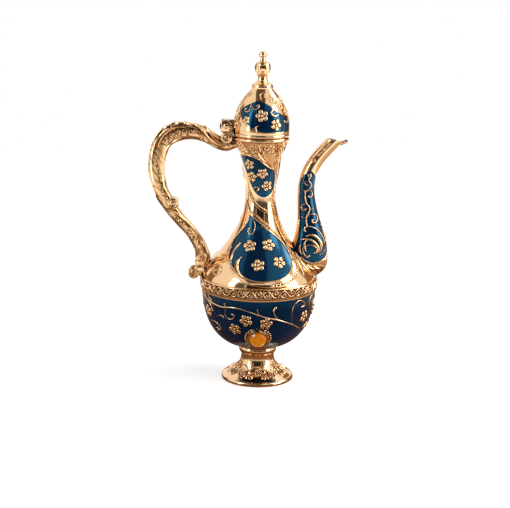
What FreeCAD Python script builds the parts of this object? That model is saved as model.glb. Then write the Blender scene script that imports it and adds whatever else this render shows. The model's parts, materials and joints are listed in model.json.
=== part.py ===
"""Dallah coffee pot in gilt cast metal with blue enamel panels, an amber stone on each side and a hinged lid.

The pot stands on z = 0 with its axis on Z. The spout points along +X, the handle along -X, and the
front panel faces -Y. All sizes are millimetres.
"""

import FreeCAD
import Part
import math
import os
from FreeCAD import Vector

# Walls, fits and finish
WALL = 1.8                    # cast wall of bowl, body, foot and lid
ENAMEL_DEPTH = 0.6            # depth of the cells that the enamel fills
LID_GAP = 0.3                 # air between the closed lid and the mouth
HINGE_CLEARANCE = 0.08        # radial play of the lid's knuckle on its pin
HINGE_SIDE_GAP = 0.35         # air between the knuckle and each ear

# Foot, bolt and stem ring
FOOT_RADIUS = 31.0
FOOT_RING_WIDTH = 4.0         # width of the flat ring that the pot stands on
FOOT_RIM_HEIGHT = 3.4
FOOT_RIM_ROUND = 2.0
FOOT_LEDGE = 7.0              # from the foot's edge in to its flare
FOOT_FLANGE_HEIGHT = 6.6
FOOT_HEIGHT = 22.0
FOOT_WEB = 3.0                # thickness of the web that the bolt clamps
STEM_RADIUS = 14.0
STEM_RING_SWELL = 2.2         # how far the ring swells out of the stem
STEM_RING_HEIGHT = 8.0
BOLT_RADIUS = 3.0
BOLT_PLAY = 0.3
BOLT_DEPTH = 7.0              # length of thread in the bowl's boss
BOLT_HEAD_MARGIN = 2.5        # from the shank out to the head's corners
BOLT_HEAD_HEIGHT = 4.0
WASHER_MARGIN = 1.5           # from the head's corners out to the washer's edge
WASHER_HEIGHT = 1.2

# Girdle, which is the pot's widest part, and bowl
GIRDLE_RADIUS = 49.7
GIRDLE_HEIGHT = 9.4
GIRDLE_BEAD = 1.0             # height of the plain bead on each edge of the girdle
GIRDLE_FIELD_DEPTH = 0.5      # how far the decorated field lies below the beads
GIRDLE_SEAT = 2.6             # depth of the seat that the girdle fills
BOWL_STEP = 1.1               # from the girdle in to the bowl's side
BOWL_BASE_STEP = 1.5          # from the stem out to the bowl's base
BOWL_HEIGHT = 51.6
BOWL_FLOOR = 10.0             # depth of the boss under the bowl's floor
BOWL_SEAM = 23.0              # from the bowl's base up to the seam with its upper wall
BOWL_BELLY_OUT = 20.5         # how far the bowl runs outwards before it climbs
BOWL_BELLY_LIFT = 2.5
BOWL_BELLY_DROP = 30.0        # length of the upright part of the bowl's side
BOWL_ENAMEL_MARGIN = 1.4      # bare metal above and below the bowl's enamel

# Shoulder, waist and mouth
SHOULDER_STEP = 1.5           # from the girdle in to the shoulder's foot
SHOULDER_LEAN = 2.0
SHOULDER_RISE = 13.0
SHOULDER_TO_WAIST = 69.0
WAIST_RADIUS = 13.1
WAIST_SWEEP_DOWN = 35.0
WAIST_SWEEP_UP = 18.0
WAIST_TO_MOUTH = 50.0
MOUTH_RADIUS = 22.8
MOUTH_FLARE_OUT = 5.9
MOUTH_FLARE_DROP = 16.0
MOUTH_RING_HEIGHT = 6.0
MOUTH_BEAD = 3.2              # height of the half-round bead under the lid
MOUTH_LEDGE = 4.2             # from the mouth's outside in to its bore

# Lid and finial
LID_OVERHANG = 0.7            # how far the lid's rim stands out over the mouth
LID_RIM_HEIGHT = 3.2
LID_LIP_PLAY = 1.2            # air round the lip, so that it clears the mouth as the lid swings
LID_LIP_DEPTH = 2.4
LID_LIP_WALL = 2.0
LID_DOME_HEIGHT = 36.5
LID_DOME_STEP = 0.2           # from the lid's rim in to its dome
LID_DOME_SWELL = 15.0
LID_DOME_BULGE = 1.0          # how far the dome leans out before it turns in
LID_TOP_RADIUS = 8.6
LID_TOP_SWEEP_OUT = 8.0
LID_TOP_SWEEP_DROP = 8.5
LID_WEB = 2.6
FINIAL_DISC_STEP = 0.2        # from the lid's top in to the finial's disc
FINIAL_DISC_HEIGHT = 3.6
FINIAL_DISC_ROUND = 1.0
FINIAL_SWEEP = 2.6            # how far the disc's top runs out from the neck
FINIAL_NECK_RADIUS = 3.8
FINIAL_NECK_HEIGHT = 5.0
FINIAL_BULB_RADIUS = 6.7
FINIAL_BULB_HEIGHT = 13.4
FINIAL_BULB_PEAR = 1.15       # pull of the bulb's outline near its foot, as a share of its radius
FINIAL_LOBES = 8
FINIAL_LOBE_DEPTH = 0.9       # how far the lobes stand out of the bulb
FINIAL_LOBE_SHARE = 0.66      # share of the bulb's round that the lobes cover
FINIAL_STEM_RADIUS = 2.0
FINIAL_KNOB_RADIUS = 3.2
FINIAL_KNOB_HEIGHT = 5.0
FINIAL_STEM_HEIGHT = 3.0
STUD_RADIUS = 2.0
STUD_PLAY = 0.2
STUD_LENGTH = 9.0
NUT_FLATS = 7.0
NUT_HEIGHT = 3.2

# Hinge
HINGE_REACH = 6.0             # from the lid's rim out to the pin
HINGE_LIFT = 8.5              # from the mouth up to the pin
HINGE_RADIUS = 5.2
KNUCKLE_WIDTH = 6.0
KNUCKLE_UNDERSIDE = 3.4       # from the pin down to the flat under the knuckle's arm
EAR_WIDTH = 2.6
EAR_LEG = 2.5                 # from the pin out to the back of each ear's leg
PIN_RADIUS = 1.6
PIN_HEAD_RADIUS = 2.5
PIN_HEAD_HEIGHT = 1.0

# Handle: the arch hangs from the mouth to the shoulder
HANDLE_STANDOFF = 39.4        # from the shoulder's foot out to the middle of the grip
HANDLE_WIDTH = 5.0            # half the width at the upper end, in the handle's plane
HANDLE_DEPTH = 5.0            # half the width across the handle, along Y
HANDLE_TOP_DROP = 7.0         # from the mouth down to where the handle leaves the neck
HANDLE_FOOT_RISE = 3.6        # from the girdle's top up to the handle's lower end
HANDLE_SINK = 5.0             # how far the upper end runs into the neck before it is cut to its skin
HANDLE_FOOT_OUT = 1.6         # how far the middle of the lower end lies outside the shoulder's skin
HANDLE_SQUARE = 3.0           # 2 makes the cross-section an oval, more makes it squarer
HANDLE_POINTS = 12
VOLUTE_DEPTH = 5.8            # half the width of the scrolls along Y
# Share of the reach from the pot's skin, share of the height from the lower end, share of the width
HANDLE_STATIONS = (
    (0.084, 0.997, 1.00),
    (0.209, 1.008, 1.12),
    (0.334, 1.048, 1.12),
    (0.452, 1.082, 1.28),
    (0.629, 1.094, 1.40),
    (0.842, 1.055, 1.52),
    (0.938, 0.985, 1.52),
    (0.986, 0.880, 1.42),
    (1.000, 0.788, 1.38),
    (0.968, 0.686, 1.18),
    (0.894, 0.592, 1.18),
    (0.704, 0.451, 1.04),
    (0.513, 0.357, 0.98),
    (0.310, 0.262, 1.00),
    (0.158, 0.166, 1.12),
    (0.093, 0.118, 1.24),
    (0.080, 0.052, 1.20),
)
# Centre as shares of the same reach and height, then the radius as a share of the width
HANDLE_VOLUTES = (
    (0.125, 1.050, 0.92),
    (0.722, 0.525, 0.78),
    (0.212, -0.021, 0.90),
)

# Spout: its bends are given from the shoulder's foot
SPOUT_HEIGHT = 119.0          # from the shoulder up to the last station
SPOUT_WIDTH = 16.5            # half the spout's largest width, along the pot
SPOUT_WALL = 1.6
# Way out and up as shares of the height, half widths along and across as shares of the width, lean in degrees
SPOUT_STATIONS = (
    (-0.1025, 0.005, 0.727, 0.545, 0.0),
    (-0.0731, 0.050, 0.970, 0.679, 0.0),
    (-0.0521, 0.126, 1.000, 0.739, 0.0),
    (-0.0487, 0.193, 0.958, 0.727, 0.0),
    (-0.0454, 0.277, 0.842, 0.679, 0.0),
    (-0.0538, 0.370, 0.661, 0.582, 0.0),
    (-0.0706, 0.479, 0.527, 0.497, 0.0),
    (-0.0832, 0.605, 0.448, 0.436, 4.0),
    (-0.0739, 0.710, 0.412, 0.412, 17.0),
    (-0.0353, 0.807, 0.388, 0.388, 35.0),
    (0.0319, 0.899, 0.370, 0.370, 41.0),
    (0.1244, 1.000, 0.358, 0.358, 43.0),
)
SPOUT_MOUTH_UP = 0.9815       # share of the height at which the mouth's middle lies
SPOUT_MOUTH_OUT = 0.1059      # share of the height by which it lies out from the shoulder's foot
SPOUT_MOUTH_TILT = 15.0       # the mouth's plane falls towards its tip by this angle
SPOUT_PORT_RADIUS = 8.5       # hole from the body into the spout
SPOUT_PORT_HEIGHT = 15.0      # of that hole over the shoulder
SPOUT_LIP_LENGTH = 5.6        # of the drip lip, from inside the spout's wall to its tip
SPOUT_LIP_RADIUS = 2.1
SPOUT_LIP_TIP = 1.0
SPOUT_LIP_RISE = 12.0         # degrees by which the lip turns up
SPOUT_PANEL_INNER = 0.80      # share of the half width that the panel covers towards the pot
SPOUT_PANEL_OUTER = 0.93
SPOUT_PANEL_FIRST = 0.109     # share of the height at which the panel starts
SPOUT_PANEL_LAST = 0.765
SPOUT_PANEL_FOOT = 0.076      # share of the height that the rounding of its lower end takes
SPOUT_PANEL_HEAD = 0.050
SPOUT_PANEL_STEPS = 6

# Stones
GEM_WIDTH = 15.4
GEM_LENGTH = 17.0
GEM_RISE = 17.0               # of the stone's middle over the bowl's base
GEM_CROWN = 3.2
GEM_GIRDLE = 1.0
GEM_SEAT = 0.8                # floor of the collet over the bowl's skin
GEM_TABLE = 0.55              # share of the stone's width that its flat top takes
GEM_BREAK = 0.80              # share of its width at the ring between the two rows of facets
GEM_BREAK_HEIGHT = 2.1
GEM_FACETS = 16
COLLET_WALL = 1.5
COLLET_RISE = 2.6
COLLET_SINK = 9.0             # how far the collet's blank runs into the bowl before it is cut to its skin

# Enamel outlines: angle round the pot from the front, in degrees, and share of the stretch that it lies on
BODY_PANEL = (                # from the shoulder to the waist, starting and ending at the tip
    (-35, 0.80), (-8, 0.735), (22, 0.62), (44, 0.51), (52, 0.39), (48, 0.255), (36, 0.155), (16, 0.085),
    (-8, 0.095), (-25, 0.160), (-45, 0.275), (-58, 0.41), (-57, 0.55), (-44, 0.66),
)
NECK_PANEL_LOWER = (          # from the waist to the mouth, right corner round the bottom to the left corner
    (46, 0.475), (57, 0.33), (53, 0.16), (37, 0.055), (12, 0.012), (-12, 0.06), (-31, 0.17), (-47, 0.34),
    (-61, 0.53), (-74, 0.69),
)
NECK_PANEL_UPPER = ((-74, 0.69), (-45, 0.72), (-18, 0.69), (6, 0.61), (28, 0.51), (46, 0.475))
LID_PANEL = (                 # from the dome's foot to its top
    (-18, 0.745), (4, 0.715), (22, 0.635), (40, 0.50), (62, 0.41), (80, 0.33), (84, 0.20), (70, 0.085),
    (40, 0.055), (12, 0.05), (-8, 0.085), (-24, 0.175), (-42, 0.31), (-54, 0.44), (-53, 0.58), (-38, 0.665),
)

# Cast relief that stands on the enamel and the shoulder
FLOWER_RADIUS = 5.7
FLOWER_RISE = 0.9             # height of a flower over the skin at its middle
FLOWER_SINK = 3.0             # how far a flower's blank runs into the pot before it is cut to its skin
FLOWER_PETALS = 5
PETAL_PLACE = 0.62            # of a petal's middle, as a share of the flower's radius
PETAL_RADIUS = 0.38           # as a share of the flower's radius
RIDGE_RADIUS = 1.2            # half width of the polished ridge beside the shoulder's panel
BORDER_RADIUS = 0.75          # half width of the border outside the ridge
STEM_LINE_RADIUS = 0.75       # half width of the scrolls on the enamel
# Angle round the pot from the front, in degrees, and share of the height from the shoulder to the waist
SHOULDER_FLOWERS = ((-18, 0.448), (16.3, 0.461), (-1.6, 0.251), (27.2, 0.272))
SHOULDER_RIDGE = (
    (-58, 0.96), (-47, 0.891), (-33.4, 0.832), (-6.4, 0.77), (15.3, 0.684), (34.8, 0.594), (47, 0.51),
    (53.3, 0.422), (53.4, 0.338), (48, 0.245), (40.6, 0.167), (33.3, 0.114), (24.3, 0.08), (15.1, 0.067),
)
SHOULDER_BORDER = (
    (64, 0.536), (60.5, 0.478), (59, 0.423), (59.9, 0.319), (54.8, 0.216), (45, 0.125), (34.5, 0.062),
    (24.3, 0.031), (14.7, 0.02), (4, 0.022), (-5.9, 0.038), (-14.5, 0.064), (-24, 0.109),
)
SHOULDER_SCROLLS = (
    ((-38.5, 0.459), (-42.6, 0.409), (-43.8, 0.348), (-39.1, 0.238), (-28, 0.145)),
    ((-26.5, 0.33), (-29.9, 0.284), (-26, 0.18), (-15, 0.11)),
    ((-25.6, 0.76), (-17.8, 0.729), (-13, 0.66), (-17.4, 0.575), (-29.4, 0.606)),
)
# The same for the bowl, as a share of its height
BOWL_FLOWERS = ((-12.6, 0.641), (8, 0.6), (-63, 0.669), (55, 0.63), (-26, 0.465), (82, 0.659))
BOWL_SCROLLS = (
    ((-84, 0.955), (-71, 0.901), (-58, 0.859), (-48.3, 0.833), (-38.3, 0.822), (-28.5, 0.843), (-18.6, 0.841),
     (-9.3, 0.802), (0.7, 0.746), (11, 0.694), (19.7, 0.659), (31, 0.591), (44, 0.494), (56, 0.388)),
    ((-34.4, 0.775), (-35.6, 0.727), (-35.1, 0.68), (-30.6, 0.64), (-26, 0.663), (-25.2, 0.719)),
    ((17.2, 0.868), (15, 0.814), (16.4, 0.745), (18.4, 0.708)),
    ((37.4, 0.595), (36.4, 0.653), (35.6, 0.769), (37.7, 0.886), (44.3, 0.94), (50.7, 0.891), (51.4, 0.826)),
    ((69.6, 0.581), (66, 0.698), (62, 0.802), (62.4, 0.911), (71, 0.957), (77, 0.864)),
)

# Working values that set how finely curves are made
OFFSET_POINTS = 15
BEZIER_BULGE = 4 / 3          # pull of two end poles that makes a curve pass a given width
TOUCH = 1e-6

# Widths that follow from a neighbour's
FOOT_FLANGE_RADIUS = FOOT_RADIUS - FOOT_LEDGE
BOLT_HEAD_RADIUS = BOLT_RADIUS + BOLT_HEAD_MARGIN
WASHER_RADIUS = BOLT_HEAD_RADIUS + WASHER_MARGIN
BOWL_BASE_RADIUS = STEM_RADIUS + BOWL_BASE_STEP
BOWL_RADIUS = GIRDLE_RADIUS - BOWL_STEP
SEAT_RADIUS = GIRDLE_RADIUS - GIRDLE_SEAT
SHOULDER_RADIUS = GIRDLE_RADIUS - SHOULDER_STEP
MOUTH_BORE = MOUTH_RADIUS - MOUTH_LEDGE
LID_RIM_RADIUS = MOUTH_RADIUS + LID_OVERHANG
LID_LIP_RADIUS = MOUTH_BORE - LID_LIP_PLAY
LID_DOME_RADIUS = LID_RIM_RADIUS - LID_DOME_STEP
FINIAL_DISC_RADIUS = LID_TOP_RADIUS - FINIAL_DISC_STEP
HANDLE_REACH = SHOULDER_RADIUS + HANDLE_STANDOFF
FAR = 4 * (HANDLE_REACH + GIRDLE_RADIUS)

# Heights that the stacked pieces give each other
BOWL_BASE = FOOT_HEIGHT + STEM_RING_HEIGHT
GIRDLE_BASE = BOWL_BASE + BOWL_HEIGHT
GIRDLE_MIDDLE = GIRDLE_BASE + GIRDLE_HEIGHT / 2
SHOULDER = GIRDLE_BASE + GIRDLE_HEIGHT
WAIST = SHOULDER + SHOULDER_TO_WAIST
MOUTH = WAIST + WAIST_TO_MOUTH
NECK_TOP = MOUTH - MOUTH_RING_HEIGHT
LID_BASE = MOUTH + LID_GAP
DOME_BASE = LID_BASE + LID_RIM_HEIGHT
LID_TOP = DOME_BASE + LID_DOME_HEIGHT
HINGE_X = -(LID_RIM_RADIUS + HINGE_REACH)
HINGE_Z = MOUTH + HINGE_LIFT


# Curves and turned solids

def point(radius, height):
    """A point of a turned outline."""
    return Vector(radius, 0, height)


def bezier(*poles):
    """A smooth curve in the outline plane."""
    curve = Part.BezierCurve()
    curve.setPoles([point(*pole) for pole in poles])
    return curve


def arc(first, through, last):
    """A circular arc in the outline plane."""
    return Part.Arc(point(*first), point(*through), point(*last))


def back(curve):
    """The same curve, walked the other way."""
    turned = curve.copy()
    turned.reverse()
    return turned


def inset(curve, distance):
    """A climbing outline moved towards the axis by a wall's thickness."""
    moved = []
    for i in range(OFFSET_POINTS):
        share = i / (OFFSET_POINTS - 1)
        t = curve.FirstParameter + share * (curve.LastParameter - curve.FirstParameter)
        tangent = curve.tangent(t)[0]
        moved.append(curve.value(t) + Vector(-tangent.z, 0, tangent.x) * distance)
    spline = Part.BSplineCurve()
    spline.interpolate(moved)
    return spline


def at_height(curve, height):
    """The parameter at which a climbing outline passes a height."""
    low, high = curve.FirstParameter, curve.LastParameter
    for _ in range(60):
        middle = (low + high) / 2
        if curve.value(middle).z < height:
            low = middle
        else:
            high = middle
    return (low + high) / 2


def stretch(curve, low, high):
    """The part of a climbing outline between two heights."""
    cut = curve.copy()
    cut.segment(at_height(curve, low), at_height(curve, high))
    return cut


def ends(item):
    """Where an item of an outline starts and ends: a corner at one point, a curve at two."""
    if isinstance(item, tuple):
        return point(*item), point(*item)
    return item.StartPoint, item.EndPoint


def turned(*items):
    """A solid turned about the pot's axis, from a closed outline of corners and curves."""
    edges = []
    pen = ends(items[-1])[1]
    for item in items:
        first, last = ends(item)
        if pen.distanceToPoint(first) > TOUCH:
            edges.append(Part.makeLine(pen, first))
        if not isinstance(item, tuple):
            edges.append(item.toShape())
        pen = last
    face = Part.Face(Part.Wire(edges))
    return upright(face.revolve(Vector(0, 0, 0), Vector(0, 0, 1), 360))


def upright(shape):
    """The shape as one solid with its faces outwards."""
    solid = shape if shape.ShapeType == "Solid" else Part.makeSolid(shape)
    if solid.Volume < 0:
        solid.reverse()
    return solid


def cylinder_across(radius, half_width, x, z):
    """A cylinder along Y, centred on the handle and spout plane."""
    return Part.makeCylinder(radius, 2 * half_width, Vector(x, -half_width, z), Vector(0, 1, 0))


def turn_round(shape):
    """The same shape on the other side of the pot."""
    copy = shape.copy()
    copy.rotate(Vector(0, 0, 0), Vector(0, 0, 1), 180)
    return copy


def mirrored(shape):
    """The same shape mirrored through the handle and spout plane."""
    return shape.mirror(Vector(0, 0, 0), Vector(0, 1, 0))


# Outlines of the pot, from the bowl up to the lid

BOWL_CURVE = bezier(
    (BOWL_BASE_RADIUS, BOWL_BASE),
    (BOWL_BASE_RADIUS + BOWL_BELLY_OUT, BOWL_BASE + BOWL_BELLY_LIFT),
    (BOWL_RADIUS, GIRDLE_BASE - BOWL_BELLY_DROP),
    (BOWL_RADIUS, GIRDLE_BASE),
)
SHOULDER_CURVE = bezier(
    (SHOULDER_RADIUS, SHOULDER),
    (SHOULDER_RADIUS - SHOULDER_LEAN, SHOULDER + SHOULDER_RISE),
    (WAIST_RADIUS, WAIST - WAIST_SWEEP_DOWN),
    (WAIST_RADIUS, WAIST),
)
MOUTH_CURVE = bezier(
    (WAIST_RADIUS, WAIST),
    (WAIST_RADIUS, WAIST + WAIST_SWEEP_UP),
    (MOUTH_RADIUS - MOUTH_FLARE_OUT, MOUTH - MOUTH_FLARE_DROP),
    (MOUTH_RADIUS, MOUTH),
)
NECK_CURVE = stretch(MOUTH_CURVE, WAIST, NECK_TOP)
DOME_CURVE = bezier(
    (LID_DOME_RADIUS, DOME_BASE),
    (LID_DOME_RADIUS + LID_DOME_BULGE, DOME_BASE + LID_DOME_SWELL),
    (LID_TOP_RADIUS + LID_TOP_SWEEP_OUT, LID_TOP - LID_TOP_SWEEP_DROP),
    (LID_TOP_RADIUS, LID_TOP),
)


def body_block():
    """Everything inside the skin of the girdle, shoulder, neck and mouth, as one solid."""
    return turned(
        (0, GIRDLE_BASE),
        (GIRDLE_RADIUS, GIRDLE_BASE),
        (GIRDLE_RADIUS, SHOULDER),
        (SHOULDER_RADIUS, SHOULDER),
        SHOULDER_CURVE,
        NECK_CURVE,
        *mouth_outline(),
        (0, MOUTH),
    )


# Enamel cells

def outline_points(panel, curve, base, top):
    """Points of a panel's outline on the front of a turned wall, seen along Y."""
    points = []
    for angle, share in panel:
        height = base + share * (top - base)
        radius = curve.value(at_height(curve, height)).x
        points.append(Vector(radius * math.sin(math.radians(angle)), 0, height))
    return points


def spline_edge(points):
    """A smooth open edge through points."""
    spline = Part.BSplineCurve()
    spline.interpolate(points)
    return spline.toShape()


def front_prism(edges):
    """The block in front of the pot's middle plane behind a closed outline."""
    return upright(Part.Face(Part.Wire(edges)).extrude(Vector(0, -FAR, 0)))


def cell(prism, curve):
    """The block in front of a turned wall behind an outline, down to the depth of the enamel."""
    floor = inset(curve, ENAMEL_DEPTH)
    core = turned((0, floor.StartPoint.z), floor, (0, floor.EndPoint.z))
    return prism.cut(core)


def body_cell():
    """Teardrop cell on the front of the shoulder, with its tip towards the handle."""
    points = outline_points(BODY_PANEL, SHOULDER_CURVE, SHOULDER, WAIST)
    return cell(front_prism([spline_edge(points + points[:1])]), SHOULDER_CURVE)


def neck_cell():
    """Leaf-shaped cell on the front of the neck."""
    lower = outline_points(NECK_PANEL_LOWER, NECK_CURVE, WAIST, MOUTH)
    upper = outline_points(NECK_PANEL_UPPER, NECK_CURVE, WAIST, MOUTH)
    return cell(front_prism([spline_edge(lower), spline_edge(upper)]), NECK_CURVE)


def lid_cell():
    """Cell that sweeps round the front of the lid's dome."""
    points = outline_points(LID_PANEL, DOME_CURVE, DOME_BASE, LID_TOP)
    return cell(front_prism([spline_edge(points + points[:1])]), DOME_CURVE)


def largest(shape):
    """The largest solid of a result, without slivers that lie beyond it."""
    return max(shape.Solids, key=lambda solid: solid.Volume)


# Foot and bowl

def foot():
    """Flared foot, hollow below, with a web at the top for the bolt."""
    flare = bezier(
        (FOOT_FLANGE_RADIUS, FOOT_FLANGE_HEIGHT),
        ((FOOT_FLANGE_RADIUS + 2 * STEM_RADIUS) / 3, FOOT_FLANGE_HEIGHT + WALL),
        (STEM_RADIUS, (FOOT_FLANGE_HEIGHT + FOOT_HEIGHT) / 2),
        (STEM_RADIUS, FOOT_HEIGHT),
    )
    hollow = stretch(inset(flare, WALL), FOOT_FLANGE_HEIGHT - WALL, FOOT_HEIGHT - FOOT_WEB)
    hole = BOLT_RADIUS + BOLT_PLAY
    eased = FOOT_RIM_ROUND * (1 - math.sqrt(0.5))
    rim_edge = arc((FOOT_RADIUS, FOOT_RIM_HEIGHT - FOOT_RIM_ROUND),
                   (FOOT_RADIUS - eased, FOOT_RIM_HEIGHT - eased),
                   (FOOT_RADIUS - FOOT_RIM_ROUND, FOOT_RIM_HEIGHT))
    return turned(
        (FOOT_RADIUS - FOOT_RING_WIDTH, 0),
        (FOOT_RADIUS, 0),
        rim_edge,
        flare,
        (hole, FOOT_HEIGHT),
        (hole, FOOT_HEIGHT - FOOT_WEB),
        back(hollow),
    )


def stem_ring():
    """Plain swelling ring between the foot and the bowl."""
    hole = BOLT_RADIUS + BOLT_PLAY
    widest = STEM_RADIUS + STEM_RING_SWELL
    swell = arc((STEM_RADIUS, FOOT_HEIGHT), (widest, FOOT_HEIGHT + STEM_RING_HEIGHT / 2),
                (STEM_RADIUS, BOWL_BASE))
    return turned((hole, FOOT_HEIGHT), swell, (hole, BOWL_BASE))


def foot_washer():
    """Washer under the foot's web."""
    top = FOOT_HEIGHT - FOOT_WEB
    low = top - WASHER_HEIGHT
    hole = BOLT_RADIUS + BOLT_PLAY
    return turned((hole, low), (WASHER_RADIUS, low), (WASHER_RADIUS, top), (hole, top))


def foot_bolt():
    """Hexagon bolt that clamps the foot and the stem ring to the bowl."""
    seat = FOOT_HEIGHT - FOOT_WEB - WASHER_HEIGHT
    head = hexagon(BOLT_HEAD_RADIUS, BOLT_HEAD_HEIGHT, seat - BOLT_HEAD_HEIGHT)
    shank = Part.makeCylinder(BOLT_RADIUS, BOWL_BASE + BOLT_DEPTH - seat, Vector(0, 0, seat))
    return head.fuse(shank).removeSplitter().Solids[0]


def hexagon(corner_radius, height, base):
    """Upright hexagonal prism."""
    corners = [Vector(corner_radius * math.cos(math.radians(60 * i)),
                      corner_radius * math.sin(math.radians(60 * i)), base) for i in range(7)]
    return upright(Part.Face(Part.makePolygon(corners)).extrude(Vector(0, 0, height)))


def bowl_cell():
    """The space all round the bowl's side that the enamel fills, open to the outside."""
    low = BOWL_BASE + BOWL_ENAMEL_MARGIN
    high = GIRDLE_BASE - BOWL_ENAMEL_MARGIN
    floor = stretch(inset(BOWL_CURVE, ENAMEL_DEPTH), low, high)
    return turned((FAR, floor.StartPoint.z), (FAR, floor.EndPoint.z), back(floor))


def bowl_blank():
    """Lower bowl with its boss, before the enamel cells are cut."""
    floor = BOWL_BASE + BOWL_FLOOR
    hollow = inset(BOWL_CURVE, WALL)
    side = stretch(hollow, floor, GIRDLE_BASE - WALL)
    boss = Part.makeCylinder(BOLT_RADIUS, BOLT_DEPTH, Vector(0, 0, BOWL_BASE))
    blank = turned(
        (0, BOWL_BASE),
        BOWL_CURVE,
        (SEAT_RADIUS, GIRDLE_BASE),
        (SEAT_RADIUS, GIRDLE_MIDDLE),
        (SEAT_RADIUS - WALL, GIRDLE_MIDDLE),
        (SEAT_RADIUS - WALL, GIRDLE_BASE),
        back(side),
        (0, floor),
    )
    return blank.cut(boss)


def bowl_block():
    """Everything inside the bowl's skin, as one solid."""
    return turned((0, BOWL_BASE), BOWL_CURVE, (0, GIRDLE_BASE))


def below_seam():
    """Block that holds the bowl up to the seam where its upper wall is soldered on."""
    return Part.makeCylinder(FAR, BOWL_SEAM, Vector(0, 0, BOWL_BASE))


def girdle_band():
    """Band round the widest part, trapped between the bowl and the body, with a bead on each edge."""
    field = GIRDLE_RADIUS - GIRDLE_FIELD_DEPTH
    low = GIRDLE_BASE + GIRDLE_BEAD
    high = SHOULDER - GIRDLE_BEAD
    return turned(
        (SEAT_RADIUS, GIRDLE_BASE),
        (field, GIRDLE_BASE),
        arc((field, GIRDLE_BASE), (GIRDLE_RADIUS, GIRDLE_BASE + GIRDLE_BEAD / 2), (field, low)),
        (field, high),
        arc((field, high), (GIRDLE_RADIUS, SHOULDER - GIRDLE_BEAD / 2), (field, SHOULDER)),
        (SEAT_RADIUS, SHOULDER),
    )


# Stones

def skin_placement(curve, height):
    """Where a piece sits on the front of a turned skin, with its own Z pointing out of the surface."""
    t = at_height(curve, height)
    seat = curve.value(t)
    climb = curve.tangent(t)[0]
    out = Vector(0, -climb.z, -climb.x)
    up = Vector(0, -climb.x, climb.z)
    return FreeCAD.Placement(Vector(0, -seat.x, seat.z), FreeCAD.Rotation(up.cross(out), up, out, "ZXY"))


def gem_placement():
    """Where a stone sits on the front of the bowl."""
    return skin_placement(BOWL_CURVE, BOWL_BASE + GEM_RISE)


def oval(half_width, half_length, height):
    """Closed oval wire at a height."""
    major, minor = max(half_width, half_length), min(half_width, half_length)
    along = Vector(0, 1, 0) if half_length >= half_width else Vector(1, 0, 0)
    ellipse = Part.Ellipse(along * major, Vector(0, 0, 1).cross(along) * minor, Vector(0, 0, 0))
    wire = Part.Wire(ellipse.toShape())
    wire.translate(Vector(0, 0, height))
    return wire


def oval_block(half_width, half_length, low, high):
    """Upright oval block between two heights."""
    return upright(Part.Face(oval(half_width, half_length, low)).extrude(Vector(0, 0, high - low)))


def facet_ring(share, height):
    """Closed many-sided ring of the cut stone."""
    corners = []
    for i in range(GEM_FACETS + 1):
        a = 2 * math.pi * (i % GEM_FACETS) / GEM_FACETS
        x = share * GEM_WIDTH / 2 * math.cos(a)
        y = share * GEM_LENGTH / 2 * math.sin(a)
        corners.append(Vector(x, y, height))
    return Part.makePolygon(corners)


def gem():
    """Amber stone with a flat top and a ring of facets."""
    rings = [facet_ring(1, GEM_SEAT), facet_ring(1, GEM_SEAT + GEM_GIRDLE),
             facet_ring(GEM_BREAK, GEM_SEAT + GEM_GIRDLE + GEM_BREAK_HEIGHT),
             facet_ring(GEM_TABLE, GEM_SEAT + GEM_GIRDLE + GEM_CROWN)]
    stone = upright(Part.makeLoft(rings, True, True))
    stone.Placement = gem_placement()
    return stone


def collet_block():
    """Oval blank of the stone's setting, from inside the bowl to the collet's edge."""
    block = oval_block(GEM_WIDTH / 2 + COLLET_WALL, GEM_LENGTH / 2 + COLLET_WALL, -COLLET_SINK, COLLET_RISE)
    block.Placement = gem_placement()
    return block


def gem_collet():
    """Oval setting that stands on the bowl's metal and holds the stone."""
    pocket = oval_block(GEM_WIDTH / 2, GEM_LENGTH / 2, GEM_SEAT, COLLET_RISE + GEM_CROWN)
    pocket.Placement = gem_placement()
    return largest(collet_block().cut(pocket).cut(bowl_block().cut(bowl_cell())))


# Cast relief

def flower(curve, angle, height):
    """Blank of a five-petalled flower on a turned skin, running into the pot."""
    petals = []
    for i in range(FLOWER_PETALS):
        a = 2 * math.pi * (i + 0.25) / FLOWER_PETALS
        reach = PETAL_PLACE * FLOWER_RADIUS
        foot = Vector(reach * math.cos(a), reach * math.sin(a), -FLOWER_SINK)
        petals.append(Part.makeCylinder(PETAL_RADIUS * FLOWER_RADIUS, FLOWER_SINK + FLOWER_RISE, foot))
    middle = Vector(0, 0, -FLOWER_SINK)
    heart = Part.makeCylinder(PETAL_PLACE * FLOWER_RADIUS, FLOWER_SINK + FLOWER_RISE, middle)
    block = heart.multiFuse(petals).removeSplitter()
    block.Placement = skin_placement(curve, height)
    block.rotate(Vector(0, 0, 0), Vector(0, 0, 1), angle)
    return block


def skin_points(curve, base, top, line):
    """Points of a drawn line on a turned skin."""
    points = []
    for angle, share in line:
        height = base + share * (top - base)
        radius = curve.value(at_height(curve, height)).x
        a = math.radians(angle)
        points.append(Vector(radius * math.sin(a), -radius * math.cos(a), height))
    return points


def round_line(points, radius):
    """A round wire that runs through points of a skin, half of it under the skin."""
    path = spline_edge(points)
    ring = Part.makeCircle(radius, path.valueAt(path.FirstParameter), path.tangentAt(path.FirstParameter))
    return upright(Part.Wire(path).makePipeShell([Part.Wire(ring)], True, False))


def relief(blanks, block):
    """Blanks cut to the skin that they stand on."""
    return Part.makeCompound([largest(blank.cut(block)) for blank in blanks])


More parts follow.
